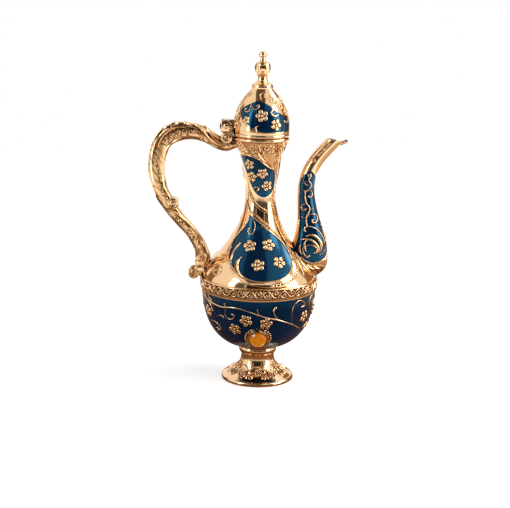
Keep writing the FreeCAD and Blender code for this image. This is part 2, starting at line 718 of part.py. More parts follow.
def shoulder_relief():
    """Flowers, scrolls and the two ridges on the front of the shoulder."""
    blanks = []
    for angle, share in SHOULDER_FLOWERS:
        blanks.append(flower(SHOULDER_CURVE, angle, SHOULDER + share * SHOULDER_TO_WAIST))
    lines = [(SHOULDER_RIDGE, RIDGE_RADIUS), (SHOULDER_BORDER, BORDER_RADIUS)]
    lines += [(scroll, STEM_LINE_RADIUS) for scroll in SHOULDER_SCROLLS]
    for line, radius in lines:
        blanks.append(round_line(skin_points(SHOULDER_CURVE, SHOULDER, WAIST, line), radius))
    return relief(blanks, body_block())


def bowl_relief():
    """Flowers and the vine on the front of the bowl's enamel."""
    blanks = []
    for angle, share in BOWL_FLOWERS:
        blanks.append(flower(BOWL_CURVE, angle, BOWL_BASE + share * BOWL_HEIGHT))
    for scroll in BOWL_SCROLLS:
        blanks.append(round_line(skin_points(BOWL_CURVE, BOWL_BASE, GIRDLE_BASE, scroll), STEM_LINE_RADIUS))
    return relief(blanks, bowl_block())


# Body, mouth and spout

def mouth_outline():
    """Outside of the mouth ring, from the neck's top to the half-round bead under the lid."""
    bead_foot = MOUTH - MOUTH_BEAD
    foot_radius = MOUTH_CURVE.value(at_height(MOUTH_CURVE, bead_foot)).x
    side = stretch(MOUTH_CURVE, NECK_TOP, bead_foot)
    bead = arc((foot_radius, bead_foot), (MOUTH_RADIUS + MOUTH_BEAD / 4, MOUTH - MOUTH_BEAD / 2),
               (MOUTH_RADIUS - MOUTH_BEAD / 4, MOUTH))
    return side, bead


def mouth_ring():
    """Moulded ring soldered on the neck's top, with the seat for the lid's lip."""
    neck_inside = inset(NECK_CURVE, WALL).EndPoint.x
    return turned((neck_inside, NECK_TOP), *mouth_outline(), (MOUTH_BORE, MOUTH))


def body_blank():
    """Bell-shaped upper body, from its seat in the girdle to the waist."""
    return turned(
        (SEAT_RADIUS - WALL, GIRDLE_MIDDLE),
        (SEAT_RADIUS, GIRDLE_MIDDLE),
        (SEAT_RADIUS, SHOULDER),
        SHOULDER_CURVE,
        back(inset(SHOULDER_CURVE, WALL)),
    )


def neck_blank():
    """Neck that is soldered on the body at the waist and widens to the mouth."""
    inside = inset(NECK_CURVE, WALL)
    return turned(NECK_CURVE, (inside.EndPoint.x, NECK_TOP), back(inside), (inside.StartPoint.x, WAIST))


def spout_point(out, up):
    """A point of the spout's plane from its shares of the spout's height."""
    return Vector(SHOULDER_RADIUS + out * SPOUT_HEIGHT, 0, SHOULDER + up * SPOUT_HEIGHT)


def spout_section(station, shrink):
    """Oval ring of the spout at one station, smaller by a wall's thickness."""
    out, up, along, across, lean = station
    wire = oval(along * SPOUT_WIDTH - shrink, across * SPOUT_WIDTH - shrink, 0)
    wire.Placement = FreeCAD.Placement(spout_point(out, up), FreeCAD.Rotation(Vector(0, 1, 0), lean))
    return wire


def spout_loft(shrink):
    """The spout's outside, or its bore when it is shrunk by the wall."""
    return upright(Part.makeLoft([spout_section(s, shrink) for s in SPOUT_STATIONS], True, False))


def spout_port():
    """Hole through the body's wall into the spout."""
    start = Vector(0, 0, SHOULDER + SPOUT_PORT_HEIGHT)
    return Part.makeCylinder(SPOUT_PORT_RADIUS, FAR, start, Vector(1, 0, 0))


def spout_mouth_cut():
    """Half space over the slanting mouth of the spout."""
    block = Part.makeBox(FAR, FAR, FAR, Vector(-FAR / 2, -FAR / 2, 0))
    middle = spout_point(SPOUT_MOUTH_OUT, SPOUT_MOUTH_UP)
    block.Placement = FreeCAD.Placement(middle, FreeCAD.Rotation(Vector(0, 1, 0), SPOUT_MOUTH_TILT))
    return block


def spout_sides(up):
    """Inner and outer edge of the spout's panel at a share of the height."""
    lower = [s for s in SPOUT_STATIONS if s[1] <= up][-1]
    upper = [s for s in SPOUT_STATIONS if s[1] > up][0]
    share = (up - lower[1]) / (upper[1] - lower[1])
    middle = spout_point(lower[0] + share * (upper[0] - lower[0]), up)
    half = SPOUT_WIDTH * (lower[2] + share * (upper[2] - lower[2]))
    return middle - Vector(SPOUT_PANEL_INNER * half, 0, 0), middle + Vector(SPOUT_PANEL_OUTER * half, 0, 0)


def spout_cell():
    """Long cell on the front of the spout, rounded at both ends."""
    first = SPOUT_PANEL_FIRST + SPOUT_PANEL_FOOT
    last = SPOUT_PANEL_LAST - SPOUT_PANEL_HEAD
    inner, outer = [], []
    for i in range(SPOUT_PANEL_STEPS + 1):
        left, right = spout_sides(first + (last - first) * i / SPOUT_PANEL_STEPS)
        inner.append(left)
        outer.append(right)
    tips = []
    for up in (SPOUT_PANEL_FIRST, SPOUT_PANEL_LAST):
        left, right = spout_sides(up)
        tips.append((left + right) / 2)
    outline = Part.BSplineCurve()
    outline.interpolate(tips[:1] + outer + tips[1:] + inner[::-1], PeriodicFlag=True)
    return front_prism([outline.toShape()]).cut(spout_loft(ENAMEL_DEPTH))


def spout_lip():
    """Small beak under the mouth of the spout, standing on the spout's wall."""
    tilt = math.radians(SPOUT_MOUTH_TILT)
    rise = math.radians(SPOUT_LIP_RISE)
    along, across, lean = SPOUT_STATIONS[-1][2:]
    inwards = SPOUT_WIDTH * along / math.cos(math.radians(lean) - tilt) - SPOUT_WALL
    middle = spout_point(SPOUT_MOUTH_OUT, SPOUT_MOUTH_UP)
    start = middle + Vector(inwards * math.cos(tilt), 0, -inwards * math.sin(tilt) - SPOUT_LIP_RADIUS / 2)
    way = Vector(math.cos(rise), 0, math.sin(rise))
    beak = Part.makeCone(SPOUT_LIP_RADIUS, SPOUT_LIP_TIP, SPOUT_LIP_LENGTH, start, way)
    tip = Part.makeSphere(SPOUT_LIP_TIP, start + way * SPOUT_LIP_LENGTH)
    return max(beak.fuse(tip).cut(spout_loft(0)).Solids, key=lambda solid: solid.CenterOfMass.x)


# Handle and hinge

def handle_frame():
    """The two ends that the handle runs between: where it leaves the neck and where it meets the shoulder."""
    top = MOUTH - HANDLE_TOP_DROP
    low = SHOULDER + HANDLE_FOOT_RISE
    neck = MOUTH_CURVE.value(at_height(MOUTH_CURVE, top)).x
    shoulder = SHOULDER_CURVE.value(at_height(SHOULDER_CURVE, low)).x
    return neck, top, shoulder, low


def handle_point(out, up):
    """A point of the handle's plane from its shares of reach and height."""
    neck, top, shoulder, low = handle_frame()
    share = min(max(up, 0), 1)
    root = shoulder + share * (neck - shoulder)
    return Vector(-(root + out * (HANDLE_REACH - root)), 0, low + up * (top - low))


def handle_section(middle, along, half_width):
    """Rounded cross-section of the handle, square to its line."""
    across = Vector(-along.z, 0, along.x)
    ring = []
    for i in range(HANDLE_POINTS):
        a = 2 * math.pi * i / HANDLE_POINTS
        c, s = math.cos(a), math.sin(a)
        swell = (abs(c) ** HANDLE_SQUARE + abs(s) ** HANDLE_SQUARE) ** (-1 / HANDLE_SQUARE)
        ring.append(middle + across * (half_width * swell * c) + Vector(0, HANDLE_DEPTH * swell * s, 0))
    spline = Part.BSplineCurve()
    spline.interpolate(ring, PeriodicFlag=True)
    return Part.Wire(spline.toShape())


def handle_line():
    """Middle points and shares of the width along the handle, with both ends overlapping the pot."""
    neck, top, shoulder, low = handle_frame()
    first = (Vector(HANDLE_SINK - neck, 0, top), HANDLE_STATIONS[0][2])
    last = (Vector(-shoulder - HANDLE_FOOT_OUT, 0, low), HANDLE_STATIONS[-1][2])
    middle = [(handle_point(out, up), width) for out, up, width in HANDLE_STATIONS]
    return [first] + middle + [last]


def hinge_ears():
    """Two ears of the handle that hold the lid's pin."""
    inner = KNUCKLE_WIDTH / 2 + HINGE_SIDE_GAP
    volute = handle_point(*HANDLE_VOLUTES[0][:2])
    ears = []
    for side in (-1, 1):
        start = inner if side > 0 else -inner - EAR_WIDTH
        eye = Part.makeCylinder(HINGE_RADIUS, EAR_WIDTH, Vector(HINGE_X, start, HINGE_Z), Vector(0, 1, 0))
        corner = Vector(HINGE_X - EAR_LEG, start, volute.z)
        leg = Part.makeBox(EAR_LEG + HINGE_RADIUS, EAR_WIDTH, HINGE_Z - volute.z, corner)
        ears.append(eye.fuse(leg))
    return ears


def handle(pot_block):
    """Arched handle with its scrolls and the ears of the lid's hinge, cut to the pot's skin."""
    line = handle_line()
    sections = []
    for i, (middle, width) in enumerate(line):
        before = line[max(i - 1, 0)][0]
        after = line[min(i + 1, len(line) - 1)][0]
        sections.append(handle_section(middle, (after - before).normalize(), width * HANDLE_WIDTH))
    shape = upright(Part.makeLoft(sections, True, False))
    for out, up, radius in HANDLE_VOLUTES:
        centre = handle_point(out, up)
        shape = shape.fuse(cylinder_across(radius * HANDLE_WIDTH, VOLUTE_DEPTH, centre.x, centre.z))
    for ear in hinge_ears():
        shape = shape.fuse(ear)
    return shape.cut(pot_block).cut(hinge_bore(PIN_RADIUS)).cut(hinge_room())


def hinge_bore(radius):
    """Cylinder along the hinge's axis."""
    return cylinder_across(radius, KNUCKLE_WIDTH + 2 * EAR_WIDTH, HINGE_X, HINGE_Z)


def hinge_room():
    """Space between the ears in which the lid's knuckle turns."""
    return cylinder_across(HINGE_RADIUS + LID_GAP, KNUCKLE_WIDTH / 2 + HINGE_SIDE_GAP, HINGE_X, HINGE_Z)


def hinge_pin():
    """Pin fixed in the ears, with a domed head on each end."""
    half = KNUCKLE_WIDTH / 2 + HINGE_SIDE_GAP + EAR_WIDTH
    pin = cylinder_across(PIN_RADIUS, half, HINGE_X, HINGE_Z)
    sphere_radius = (PIN_HEAD_RADIUS ** 2 + PIN_HEAD_HEIGHT ** 2) / (2 * PIN_HEAD_HEIGHT)
    for side in (-1, 1):
        centre = side * (half + PIN_HEAD_HEIGHT - sphere_radius)
        ball = Part.makeSphere(sphere_radius, Vector(HINGE_X, centre, HINGE_Z))
        slab_base = Vector(HINGE_X, side * half, HINGE_Z)
        slab = Part.makeCylinder(PIN_HEAD_RADIUS, PIN_HEAD_HEIGHT, slab_base, Vector(0, side, 0))
        pin = pin.fuse(ball.common(slab))
    return pin.removeSplitter().Solids[0]


# Lid

def lid_block():
    """Everything inside the skin of the lid, as one solid."""
    return turned((0, LID_BASE), lid_bead(), DOME_CURVE, (0, LID_TOP))


def lid_bead():
    """Half-round outside of the lid's rim."""
    quarter = LID_RIM_HEIGHT / 4
    return arc((LID_RIM_RADIUS - quarter, LID_BASE), (LID_RIM_RADIUS, LID_BASE + LID_RIM_HEIGHT / 2),
               (LID_RIM_RADIUS - quarter, DOME_BASE))


def lid_rim():
    """Rim of the lid, with the lip that drops into the mouth."""
    lip_inside = LID_LIP_RADIUS - LID_LIP_WALL
    return turned(
        (lip_inside, LID_BASE - LID_LIP_DEPTH),
        (LID_LIP_RADIUS, LID_BASE - LID_LIP_DEPTH),
        (LID_LIP_RADIUS, LID_BASE),
        lid_bead(),
        (lip_inside, DOME_BASE),
    )


def lid_blank():
    """Domed shell of the lid, with a web and a hole for the finial's stud."""
    inside = stretch(inset(DOME_CURVE, WALL), DOME_BASE, LID_TOP - LID_WEB)
    hole = STUD_RADIUS + STUD_PLAY
    return turned(DOME_CURVE, (hole, LID_TOP), (hole, LID_TOP - LID_WEB), back(inside))


def finial():
    """Turned finial with a disc, a lobed bulb and a knob, and a stud that passes through the lid."""
    disc_top = LID_TOP + FINIAL_DISC_HEIGHT
    neck = disc_top + FINIAL_NECK_HEIGHT
    bulb_top = neck + FINIAL_BULB_HEIGHT
    knob_base = bulb_top + FINIAL_STEM_HEIGHT
    knob_top = knob_base + FINIAL_KNOB_HEIGHT
    disc_edge = arc((FINIAL_DISC_RADIUS - FINIAL_DISC_ROUND, LID_TOP),
                    (FINIAL_DISC_RADIUS, LID_TOP + FINIAL_DISC_HEIGHT / 2),
                    (FINIAL_DISC_RADIUS - FINIAL_DISC_ROUND, disc_top))
    sweep_top = disc_top + FINIAL_SWEEP / 2
    sweep = bezier((FINIAL_NECK_RADIUS + FINIAL_SWEEP, disc_top), (FINIAL_NECK_RADIUS, sweep_top),
                   (FINIAL_NECK_RADIUS, sweep_top), (FINIAL_NECK_RADIUS, neck))
    core = FINIAL_BULB_RADIUS - FINIAL_LOBE_DEPTH
    bulb = bulb_curve(FINIAL_NECK_RADIUS, core, FINIAL_STEM_RADIUS, neck, bulb_top)
    knob = bezier((FINIAL_STEM_RADIUS, knob_base), (FINIAL_KNOB_RADIUS * BEZIER_BULGE, knob_base),
                  (FINIAL_KNOB_RADIUS * BEZIER_BULGE, knob_top), (0, knob_top))
    shape = turned((0, LID_TOP - STUD_LENGTH), (STUD_RADIUS, LID_TOP - STUD_LENGTH), (STUD_RADIUS, LID_TOP),
                   disc_edge, sweep, bulb, knob)
    for i in range(FINIAL_LOBES):
        shape = shape.fuse(finial_lobe(neck, bulb_top, 360 * i / FINIAL_LOBES))
    return shape.removeSplitter().Solids[0]


def bulb_curve(low_radius, widest, high_radius, low, high):
    """Pear-shaped outline that is widest in its upper half."""
    return bezier((low_radius, low), (widest * FINIAL_BULB_PEAR, low + (high - low) / 4),
                  (widest * BEZIER_BULGE, high), (high_radius, high))


def finial_lobe(low, high, angle):
    """One lobe of the finial's bulb, a slice of a slightly wider pear."""
    outline = bulb_curve(FINIAL_STEM_RADIUS, FINIAL_BULB_RADIUS, FINIAL_STEM_RADIUS / 2, low, high)
    corners = [outline.EndPoint, point(0, high), point(0, low), outline.StartPoint]
    face = Part.Face(Part.Wire([outline.toShape()] + Part.makePolygon(corners).Edges))
    half_turn = FINIAL_LOBE_SHARE * 180 / FINIAL_LOBES
    face.rotate(Vector(0, 0, 0), Vector(0, 0, 1), angle - half_turn)
    return upright(face.revolve(Vector(0, 0, 0), Vector(0, 0, 1), 2 * half_turn))


def finial_nut():
    """Nut on the finial's stud, inside the lid."""
    base = LID_TOP - LID_WEB - NUT_HEIGHT
    block = hexagon(NUT_FLATS / math.sqrt(3), NUT_HEIGHT, base)
    return block.cut(Part.makeCylinder(STUD_RADIUS, NUT_HEIGHT, Vector(0, 0, base)))


def lid_knuckle():
    """Knuckle of the lid on the hinge's pin, with a flat-topped arm from the lid's side."""
    half = KNUCKLE_WIDTH / 2
    barrel = cylinder_across(HINGE_RADIUS, half, HINGE_X, HINGE_Z)
    arm = Part.makeBox(-HINGE_X, KNUCKLE_WIDTH, HINGE_RADIUS + KNUCKLE_UNDERSIDE,
                       Vector(HINGE_X, -half, HINGE_Z - KNUCKLE_UNDERSIDE))
    shape = barrel.fuse(arm).cut(lid_block()).cut(hinge_bore(PIN_RADIUS + HINGE_CLEARANCE))
    return min(shape.Solids, key=lambda solid: solid.CenterOfMass.x)


# Assembly

def inlaid(metal, cells):
    """A wall with enamel cells cut into it, and the enamel that fills each cell."""
    panels = []
    for tool in cells:
        panels.append(largest(metal.common(tool)))
        metal = metal.cut(tool)
    return metal, panels


def pieces():
    """Every piece of the pot by name."""
    made = {"foot": foot(), "stem_ring": stem_ring(), "foot_washer": foot_washer(), "foot_bolt": foot_bolt()}

    bowl, (bowl_enamel,) = inlaid(bowl_blank(), [bowl_cell()])
    made["bowl"] = largest(bowl.common(below_seam()))
    made["bowl_wall"] = largest(bowl.cut(below_seam()))
    made["bowl_enamel"] = bowl_enamel.cut(collet_block()).cut(turn_round(collet_block()))
    made["gem_collet_front"] = gem_collet()
    made["gem_collet_back"] = turn_round(made["gem_collet_front"])
    made["gem_front"] = gem()
    made["gem_back"] = turn_round(made["gem_front"])
    made["bowl_relief_front"] = bowl_relief()
    made["bowl_relief_back"] = turn_round(made["bowl_relief_front"])
    made["girdle_band"] = girdle_band()

    body = body_blank().cut(spout_port())
    made["body_shell"], panels = inlaid(body, [body_cell(), turn_round(body_cell())])
    made["body_enamel_front"], made["body_enamel_back"] = panels
    made["shoulder_relief_front"] = shoulder_relief()
    made["shoulder_relief_back"] = turn_round(made["shoulder_relief_front"])
    made["neck_shell"], panels = inlaid(neck_blank(), [neck_cell(), turn_round(neck_cell())])
    made["neck_enamel_front"], made["neck_enamel_back"] = panels
    made["mouth_ring"] = mouth_ring()

    pot = body_block()
    blank = spout_loft(0).cut(spout_mouth_cut()).cut(pot).cut(spout_loft(SPOUT_WALL))
    made["spout_lip"] = spout_lip()
    spout, panels = inlaid(largest(blank), [spout_cell(), mirrored(spout_cell())])
    made["spout"] = largest(spout)
    made["spout_enamel_front"], made["spout_enamel_back"] = panels
    made["handle"] = largest(handle(pot))
    made["hinge_pin"] = hinge_pin()

    made["lid_shell"], panels = inlaid(lid_blank(), [lid_cell(), turn_round(lid_cell())])
    made["lid_enamel_front"], made["lid_enamel_back"] = panels
    made["lid_rim"] = lid_rim()
    made["lid_knuckle"] = lid_knuckle()
    made["finial"] = finial()
    made["finial_nut"] = finial_nut()
    return made


def main():
    os.makedirs("parts", exist_ok=True)
    for name, shape in pieces().items():
        print(f"{name}: {len(shape.Solids)} solid, {shape.Volume:.1f} mm3, valid {shape.isValid()}")
        shape.exportStep(f"parts/{name}.step")


main()
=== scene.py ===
# %% [markdown]
# # A dallah coffee pot in gilt metal and blue enamel
# The pot's solid pieces already exist: the frame below holds them at their real size and place, in
# metres. This lesson gives them their finish and adds what a founder and an enameller add to the plain
# castings: raised flowers, scrolls, leaves, beads and ribs. Each step says what the real piece is, and
# how it is made here.

# %% The frame
import json
import math

import bpy
from mathutils import Matrix, Vector
from mathutils.bvhtree import BVHTree
from mathutils.geometry import interpolate_bezier


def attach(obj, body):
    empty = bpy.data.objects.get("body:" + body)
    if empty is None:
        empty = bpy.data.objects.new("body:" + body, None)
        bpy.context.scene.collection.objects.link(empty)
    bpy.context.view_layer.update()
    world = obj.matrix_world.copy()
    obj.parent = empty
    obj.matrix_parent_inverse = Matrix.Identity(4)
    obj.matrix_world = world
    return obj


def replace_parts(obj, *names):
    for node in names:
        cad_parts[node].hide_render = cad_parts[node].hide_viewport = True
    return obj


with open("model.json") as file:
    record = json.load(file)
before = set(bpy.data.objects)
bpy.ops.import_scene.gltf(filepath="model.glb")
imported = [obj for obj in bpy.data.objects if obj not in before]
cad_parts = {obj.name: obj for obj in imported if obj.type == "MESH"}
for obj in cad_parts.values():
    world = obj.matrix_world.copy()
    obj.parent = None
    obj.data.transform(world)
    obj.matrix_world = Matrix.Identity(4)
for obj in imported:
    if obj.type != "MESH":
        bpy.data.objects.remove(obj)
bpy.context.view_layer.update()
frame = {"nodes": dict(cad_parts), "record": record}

MM = 0.001
nodes = frame["nodes"]

# %% [markdown]
# ## Camera
# The photographer stood a little above the pot and looked slightly down at it, so the rings of the body
# show as flat ovals. A long lens at about a metre gives the same gentle perspective. The pot leans a
# degree to the right in the picture, which the camera's roll repeats.

# %% Camera
IMAGE_WIDTH = 510
FOCAL_PIXELS = 1169.6
SENSOR_WIDTH = 36.0
CAMERA_PLACE = Vector((-3.7, -970.0, 340.0)) * MM
CAMERA_PITCH = math.radians(90 - 13.39)
CAMERA_ROLL = math.radians(1.0)

bpy.ops.object.select_all(action="DESELECT")
bpy.ops.object.camera_add(location=CAMERA_PLACE)
camera = bpy.context.object
camera_turn = Matrix.Rotation(CAMERA_PITCH, 3, "X") @ Matrix.Rotation(CAMERA_ROLL, 3, "Z")
camera.rotation_euler = camera_turn.to_euler()
camera.data.sensor_width = SENSOR_WIDTH
camera.data.lens = FOCAL_PIXELS / IMAGE_WIDTH * SENSOR_WIDTH
bpy.context.scene.camera = camera
bpy.context.scene.view_settings.view_transform = "Standard"
print("lens:", round(camera.data.lens, 1), "mm")

# %% [markdown]
# ## Studio
# Polished metal shows nothing but its surroundings. A white room alone makes it look like pale plastic,
# so the room gets soft boxes for the bright bands, and cards for the brown and black bands between
# them. The cards stand where only reflections can see them, as a photographer's flags do: a large dark
# one behind the camera, which draws the black middle of every polished ring, grey screens beside and
# below it, tan cards behind the pot, a brown one overhead, and two warm rounds on the floor, which
# light the lower side of the bowl and the foot as a warm table would.

# %% World
WHITE = (1, 1, 1, 1)
BACKGROUND_WHITE = 1.0
ROOM_LEVEL = 0.5


def seen_directly(tree):
    """A value that is 1 for rays from the camera, from gloss and through glass, and 0 for soft light."""
    path = tree.nodes.new("ShaderNodeLightPath")
    first = tree.nodes.new("ShaderNodeMath")
    first.operation = "MAXIMUM"
    second = tree.nodes.new("ShaderNodeMath")
    second.operation = "MAXIMUM"
    tree.links.new(path.outputs["Is Camera Ray"], first.inputs[0])
    tree.links.new(path.outputs["Is Glossy Ray"], first.inputs[1])
    tree.links.new(first.outputs[0], second.inputs[0])
    tree.links.new(path.outputs["Is Transmission Ray"], second.inputs[1])
    return second.outputs[0]


def value_range(tree, value, low, high, start=0.0, end=1.0):
    """A value between start and end, spread between two other limits."""
    spread = tree.nodes.new("ShaderNodeMapRange")
    spread.inputs["From Min"].default_value = start
    spread.inputs["From Max"].default_value = end
    spread.inputs["To Min"].default_value = low
    spread.inputs["To Max"].default_value = high
    tree.links.new(value, spread.inputs["Value"])
    return spread.outputs["Result"]


world = bpy.data.worlds.new("white_room")
bpy.context.scene.world = world
world.use_nodes = True
room = world.node_tree
background = room.nodes["Background"]
background.inputs["Color"].default_value = WHITE
strength = value_range(room, seen_directly(room), ROOM_LEVEL, BACKGROUND_WHITE)
room.links.new(strength, background.inputs["Strength"])
print("world:", world.name)

# %% Floor
FLOOR_SIZE = 2.6
FLOOR_COLOUR = (0.85, 0.85, 0.85, 1)
FLOOR_ROUGHNESS = 0.8
FLOOR_GLOW = 0.5

bpy.ops.object.select_all(action="DESELECT")
bpy.ops.mesh.primitive_plane_add(size=FLOOR_SIZE)
floor = bpy.context.object
floor.name = "floor"
floor_paint = bpy.data.materials.new("floor_paint")
floor_paint.use_nodes = True
paint = floor_paint.node_tree
coat = paint.nodes["Principled BSDF"]
coat.inputs["Base Color"].default_value = FLOOR_COLOUR
coat.inputs["Roughness"].default_value = FLOOR_ROUGHNESS
coat.inputs["Emission Color"].default_value = WHITE
paint.links.new(value_range(paint, seen_directly(paint), 0.0, FLOOR_GLOW), coat.inputs["Emission Strength"])
floor.data.materials.append(floor_paint)
print("floor:", FLOOR_SIZE, "m wide")

# %% Soft boxes


def aim(thing, target):
    """Turns a lamp or card so that its face looks at a point."""
    thing.rotation_euler = (target - thing.location).to_track_quat("-Z", "Y").to_euler()


def around(angle, height, distance):
    """A point in the room: its angle from the front in degrees, its height and its distance from the pot."""
    side = math.radians(angle)
    return Vector((math.sin(side) * distance, -math.cos(side) * distance, height))


POT_MIDDLE = Vector((0, 0, 0.14))
SOFT_BOXES = {
    "right_box": (around(70, 0.5, 1.0), 0.46, 0.9, 6.5),
    "left_box": (around(-56, 0.5, 1.0), 0.20, 0.8, 2.6),
    "back_box": (around(112, 1.0, 1.0), 0.42, 0.42, 4.2),
}
for name, (place, width, height, watts) in SOFT_BOXES.items():
    bpy.ops.object.light_add(type="AREA", location=place)
    lamp = bpy.context.object
    lamp.name = name
    lamp.data.shape = "RECTANGLE"
    lamp.data.size = width
    lamp.data.size_y = height
    lamp.data.energy = watts
    aim(lamp, POT_MIDDLE)
print("lamps:", list(SOFT_BOXES))

# %% Paper for the cards
PAPER_ROUGHNESS = 0.9


def card_paint(name, colour):
    """Matt paper of one colour."""
    paper = bpy.data.materials.new(name)
    paper.use_nodes = True
    shader = paper.node_tree.nodes["Principled BSDF"]
    shader.inputs["Base Color"].default_value = (*colour, 1)
    shader.inputs["Roughness"].default_value = PAPER_ROUGHNESS
    return paper


def only_mirrored(card, paper):
    """Makes a card that reflections see, and nothing else."""
    card.data.materials.append(paper)
    card.visible_camera = False
    card.visible_diffuse = False
    card.visible_shadow = False
    card.visible_transmission = False


black_paper = card_paint("black_paper", (0.012, 0.008, 0.006))
grey_paper = card_paint("grey_paper", (0.15, 0.13, 0.11))
brown_paper = card_paint("brown_paper", (0.17, 0.12, 0.08))
tan_paper = card_paint("tan_paper", (0.36, 0.18, 0.07))
tray_paper = card_paint("tray_paper", (0.64, 0.48, 0.34))
dark_paper = card_paint("dark_paper", (0.24, 0.11, 0.045))
print("papers:", [paper.name for paper in bpy.data.materials if paper.name.endswith("_paper")])

# %% Cards
STANDING_CARDS = {
    "front_card": (around(0, 0.85, 1.9), 1.9, 1.1, black_paper),
    "low_card": (around(0, 0.1, 1.95), 3.2, 0.6, grey_paper),
    "left_screen": (around(-42, 0.75, 1.9), 0.9, 1.5, grey_paper),
    "right_screen": (around(42, 0.75, 1.9), 0.9, 1.5, grey_paper),
    "right_card": (around(132, 0.35, 1.2), 0.9, 1.2, tan_paper),
    "left_card": (around(-118, 0.3, 1.3), 0.5, 1.0, tan_paper),
}
for name, (place, width, height, paper) in STANDING_CARDS.items():
    bpy.ops.mesh.primitive_plane_add(size=1)
    card = bpy.context.object
    card.name = name
    card.scale = (width, height, 1)
    card.location = place
    aim(card, Vector((0, 0, place.z)))
    bpy.ops.object.transform_apply(location=True, rotation=True, scale=True)
    only_mirrored(card, paper)

ROOF_PLACE = (-0.2, -0.85, 1.65)
ROOF_SIZE = (1.3, 2.1, 1)
bpy.ops.mesh.primitive_plane_add(size=1, location=ROOF_PLACE)
roof_card = bpy.context.object
roof_card.name = "roof_card"
roof_card.scale = ROOF_SIZE
bpy.ops.object.transform_apply(location=True, rotation=True, scale=True)
only_mirrored(roof_card, brown_paper)

CARD_CORNERS = 48
FLOOR_CARDS = {
    "tray_card": (0.40, 0.3 * MM, tray_paper),
    "foot_card": (0.21, 0.6 * MM, dark_paper),
}
for name, (radius, height, paper) in FLOOR_CARDS.items():
    bpy.ops.mesh.primitive_circle_add(vertices=CARD_CORNERS, radius=radius, fill_type="NGON",
                                      location=(0, 0, height))
    card = bpy.context.object
    card.name = name
    bpy.ops.object.transform_apply(location=True)
    only_mirrored(card, paper)
print("cards:", list(STANDING_CARDS), roof_card.name, list(FLOOR_CARDS))

# %% [markdown]
# ## Finishes
# The gilt is a thin rose-gold plating on a casting: bright on every raised place, and painted browner in the
# hollows as shade. That shade could be painted by hand on a flat map of each piece, but an ambient
# occlusion node finds the hollows by itself, on any piece. A fine, low bump keeps the reflections from
# looking like a computer's mirror.

# %% Nodes for the finishes
HOLLOW_SAMPLES = 8


def new_finish(name):
    """An empty material with its shader, and a node with the piece's own coordinates."""
    finish = bpy.data.materials.new(name)
    finish.use_nodes = True
    tree = finish.node_tree
    place = tree.nodes.new("ShaderNodeTexCoord")
    return finish, tree, tree.nodes["Principled BSDF"], place.outputs["Object"]


def noise(tree, place, scale, detail=3.0):
    """Cloudy noise of a given fineness per metre."""
    cloud = tree.nodes.new("ShaderNodeTexNoise")
    cloud.inputs["Scale"].default_value = scale
    cloud.inputs["Detail"].default_value = detail
    tree.links.new(place, cloud.inputs["Vector"])
    return cloud.outputs["Fac"]


def openness(tree, reach):
    """A value for painted shade: 1 on open metal, falling in hollows narrower than the reach."""
    hollows = tree.nodes.new("ShaderNodeAmbientOcclusion")
    hollows.samples = HOLLOW_SAMPLES
    hollows.inputs["Distance"].default_value = reach
    return hollows.outputs["AO"]


def ramp(tree, value, *stops):
    """Colours that follow a value, given as pairs of place and colour."""
    bar = tree.nodes.new("ShaderNodeValToRGB")
    elements = bar.color_ramp.elements
    while len(elements) < len(stops):
        elements.new(0.5)
    for element, (place, colour) in zip(elements, stops):
        element.position = place
        element.color = (*colour, 1)
    tree.links.new(value, bar.inputs["Fac"])
    return bar.outputs["Color"]


def bump(tree, shader, value, distance, strength=1.0):
    """Fine unevenness of a given depth in metres."""
    dent = tree.nodes.new("ShaderNodeBump")
    dent.inputs["Distance"].default_value = distance
    dent.inputs["Strength"].default_value = strength
    tree.links.new(value, dent.inputs["Height"])
    tree.links.new(dent.outputs["Normal"], shader.inputs["Normal"])


# %% Gilt metal
# Open metal is bright; the two darker tints are painted shade, which the occlusion picks in hollows.
GOLD_BRIGHT = (0.90, 0.60, 0.335)
GOLD_HALF_SHADE = (0.60, 0.32, 0.125)
GOLD_SHADED_HOLLOW = (0.13, 0.042, 0.012)
GILT_SHADE_TINTS = ((0.22, GOLD_SHADED_HOLLOW), (0.6, GOLD_HALF_SHADE), (0.9, GOLD_BRIGHT))
GILT_ROUGHNESS = (0.06, 0.16)
RAISED_ROUGHNESS = (0.08, 0.18)
GILT_SHADE_REACH = 2.2 * MM
RAISED_SHADE_REACH = 1.15 * MM
WEAR_SCALE = 220.0
GRAIN_SCALE = 900.0
GRAIN_DETAIL = 2.0
GRAIN_DEPTH = 0.02 * MM
GRAIN_STRENGTH = 0.2


def gilt_tint(tree, shader, value):
    """Colours the plating from painted shade in the hollows to bright open metal."""
    tree.links.new(ramp(tree, value, *GILT_SHADE_TINTS), shader.inputs["Base Color"])
    shader.inputs["Metallic"].default_value = 1.0


def gilt_wear(tree, shader, place, low, high):
    """Makes the plating duller in some places than in others, between two roughnesses."""
    wear = noise(tree, place, WEAR_SCALE)
    tree.links.new(value_range(tree, wear, low, high), shader.inputs["Roughness"])


def gilt_finish(name, roughness, reach):
    """Rose-gold plating with painted shade in hollows narrower than its reach."""
    finish, tree, shader, place = new_finish(name)
    gilt_tint(tree, shader, openness(tree, reach))
    gilt_wear(tree, shader, place, *roughness)
    bump(tree, shader, noise(tree, place, GRAIN_SCALE, GRAIN_DETAIL), GRAIN_DEPTH, GRAIN_STRENGTH)
    return finish


gilt = gilt_finish("gilt", GILT_ROUGHNESS, GILT_SHADE_REACH)
gilt_raised = gilt_finish("gilt_raised", RAISED_ROUGHNESS, RAISED_SHADE_REACH)
print("gilt finishes:", gilt.name, gilt_raised.name)

# %% [markdown]
# The handle, the root of the spout, the collar under the lid and the ground of the girdle are chased: a
# punch has driven fine winding lines into them, and the lines stay brown. Lines as fine as these would
# need very many faces, so they stay in the finish. A wave texture with a strong distortion winds in the
# same way. It darkens the plating and dents it, and a pair of heights limits it to the chased zone of a
# piece.

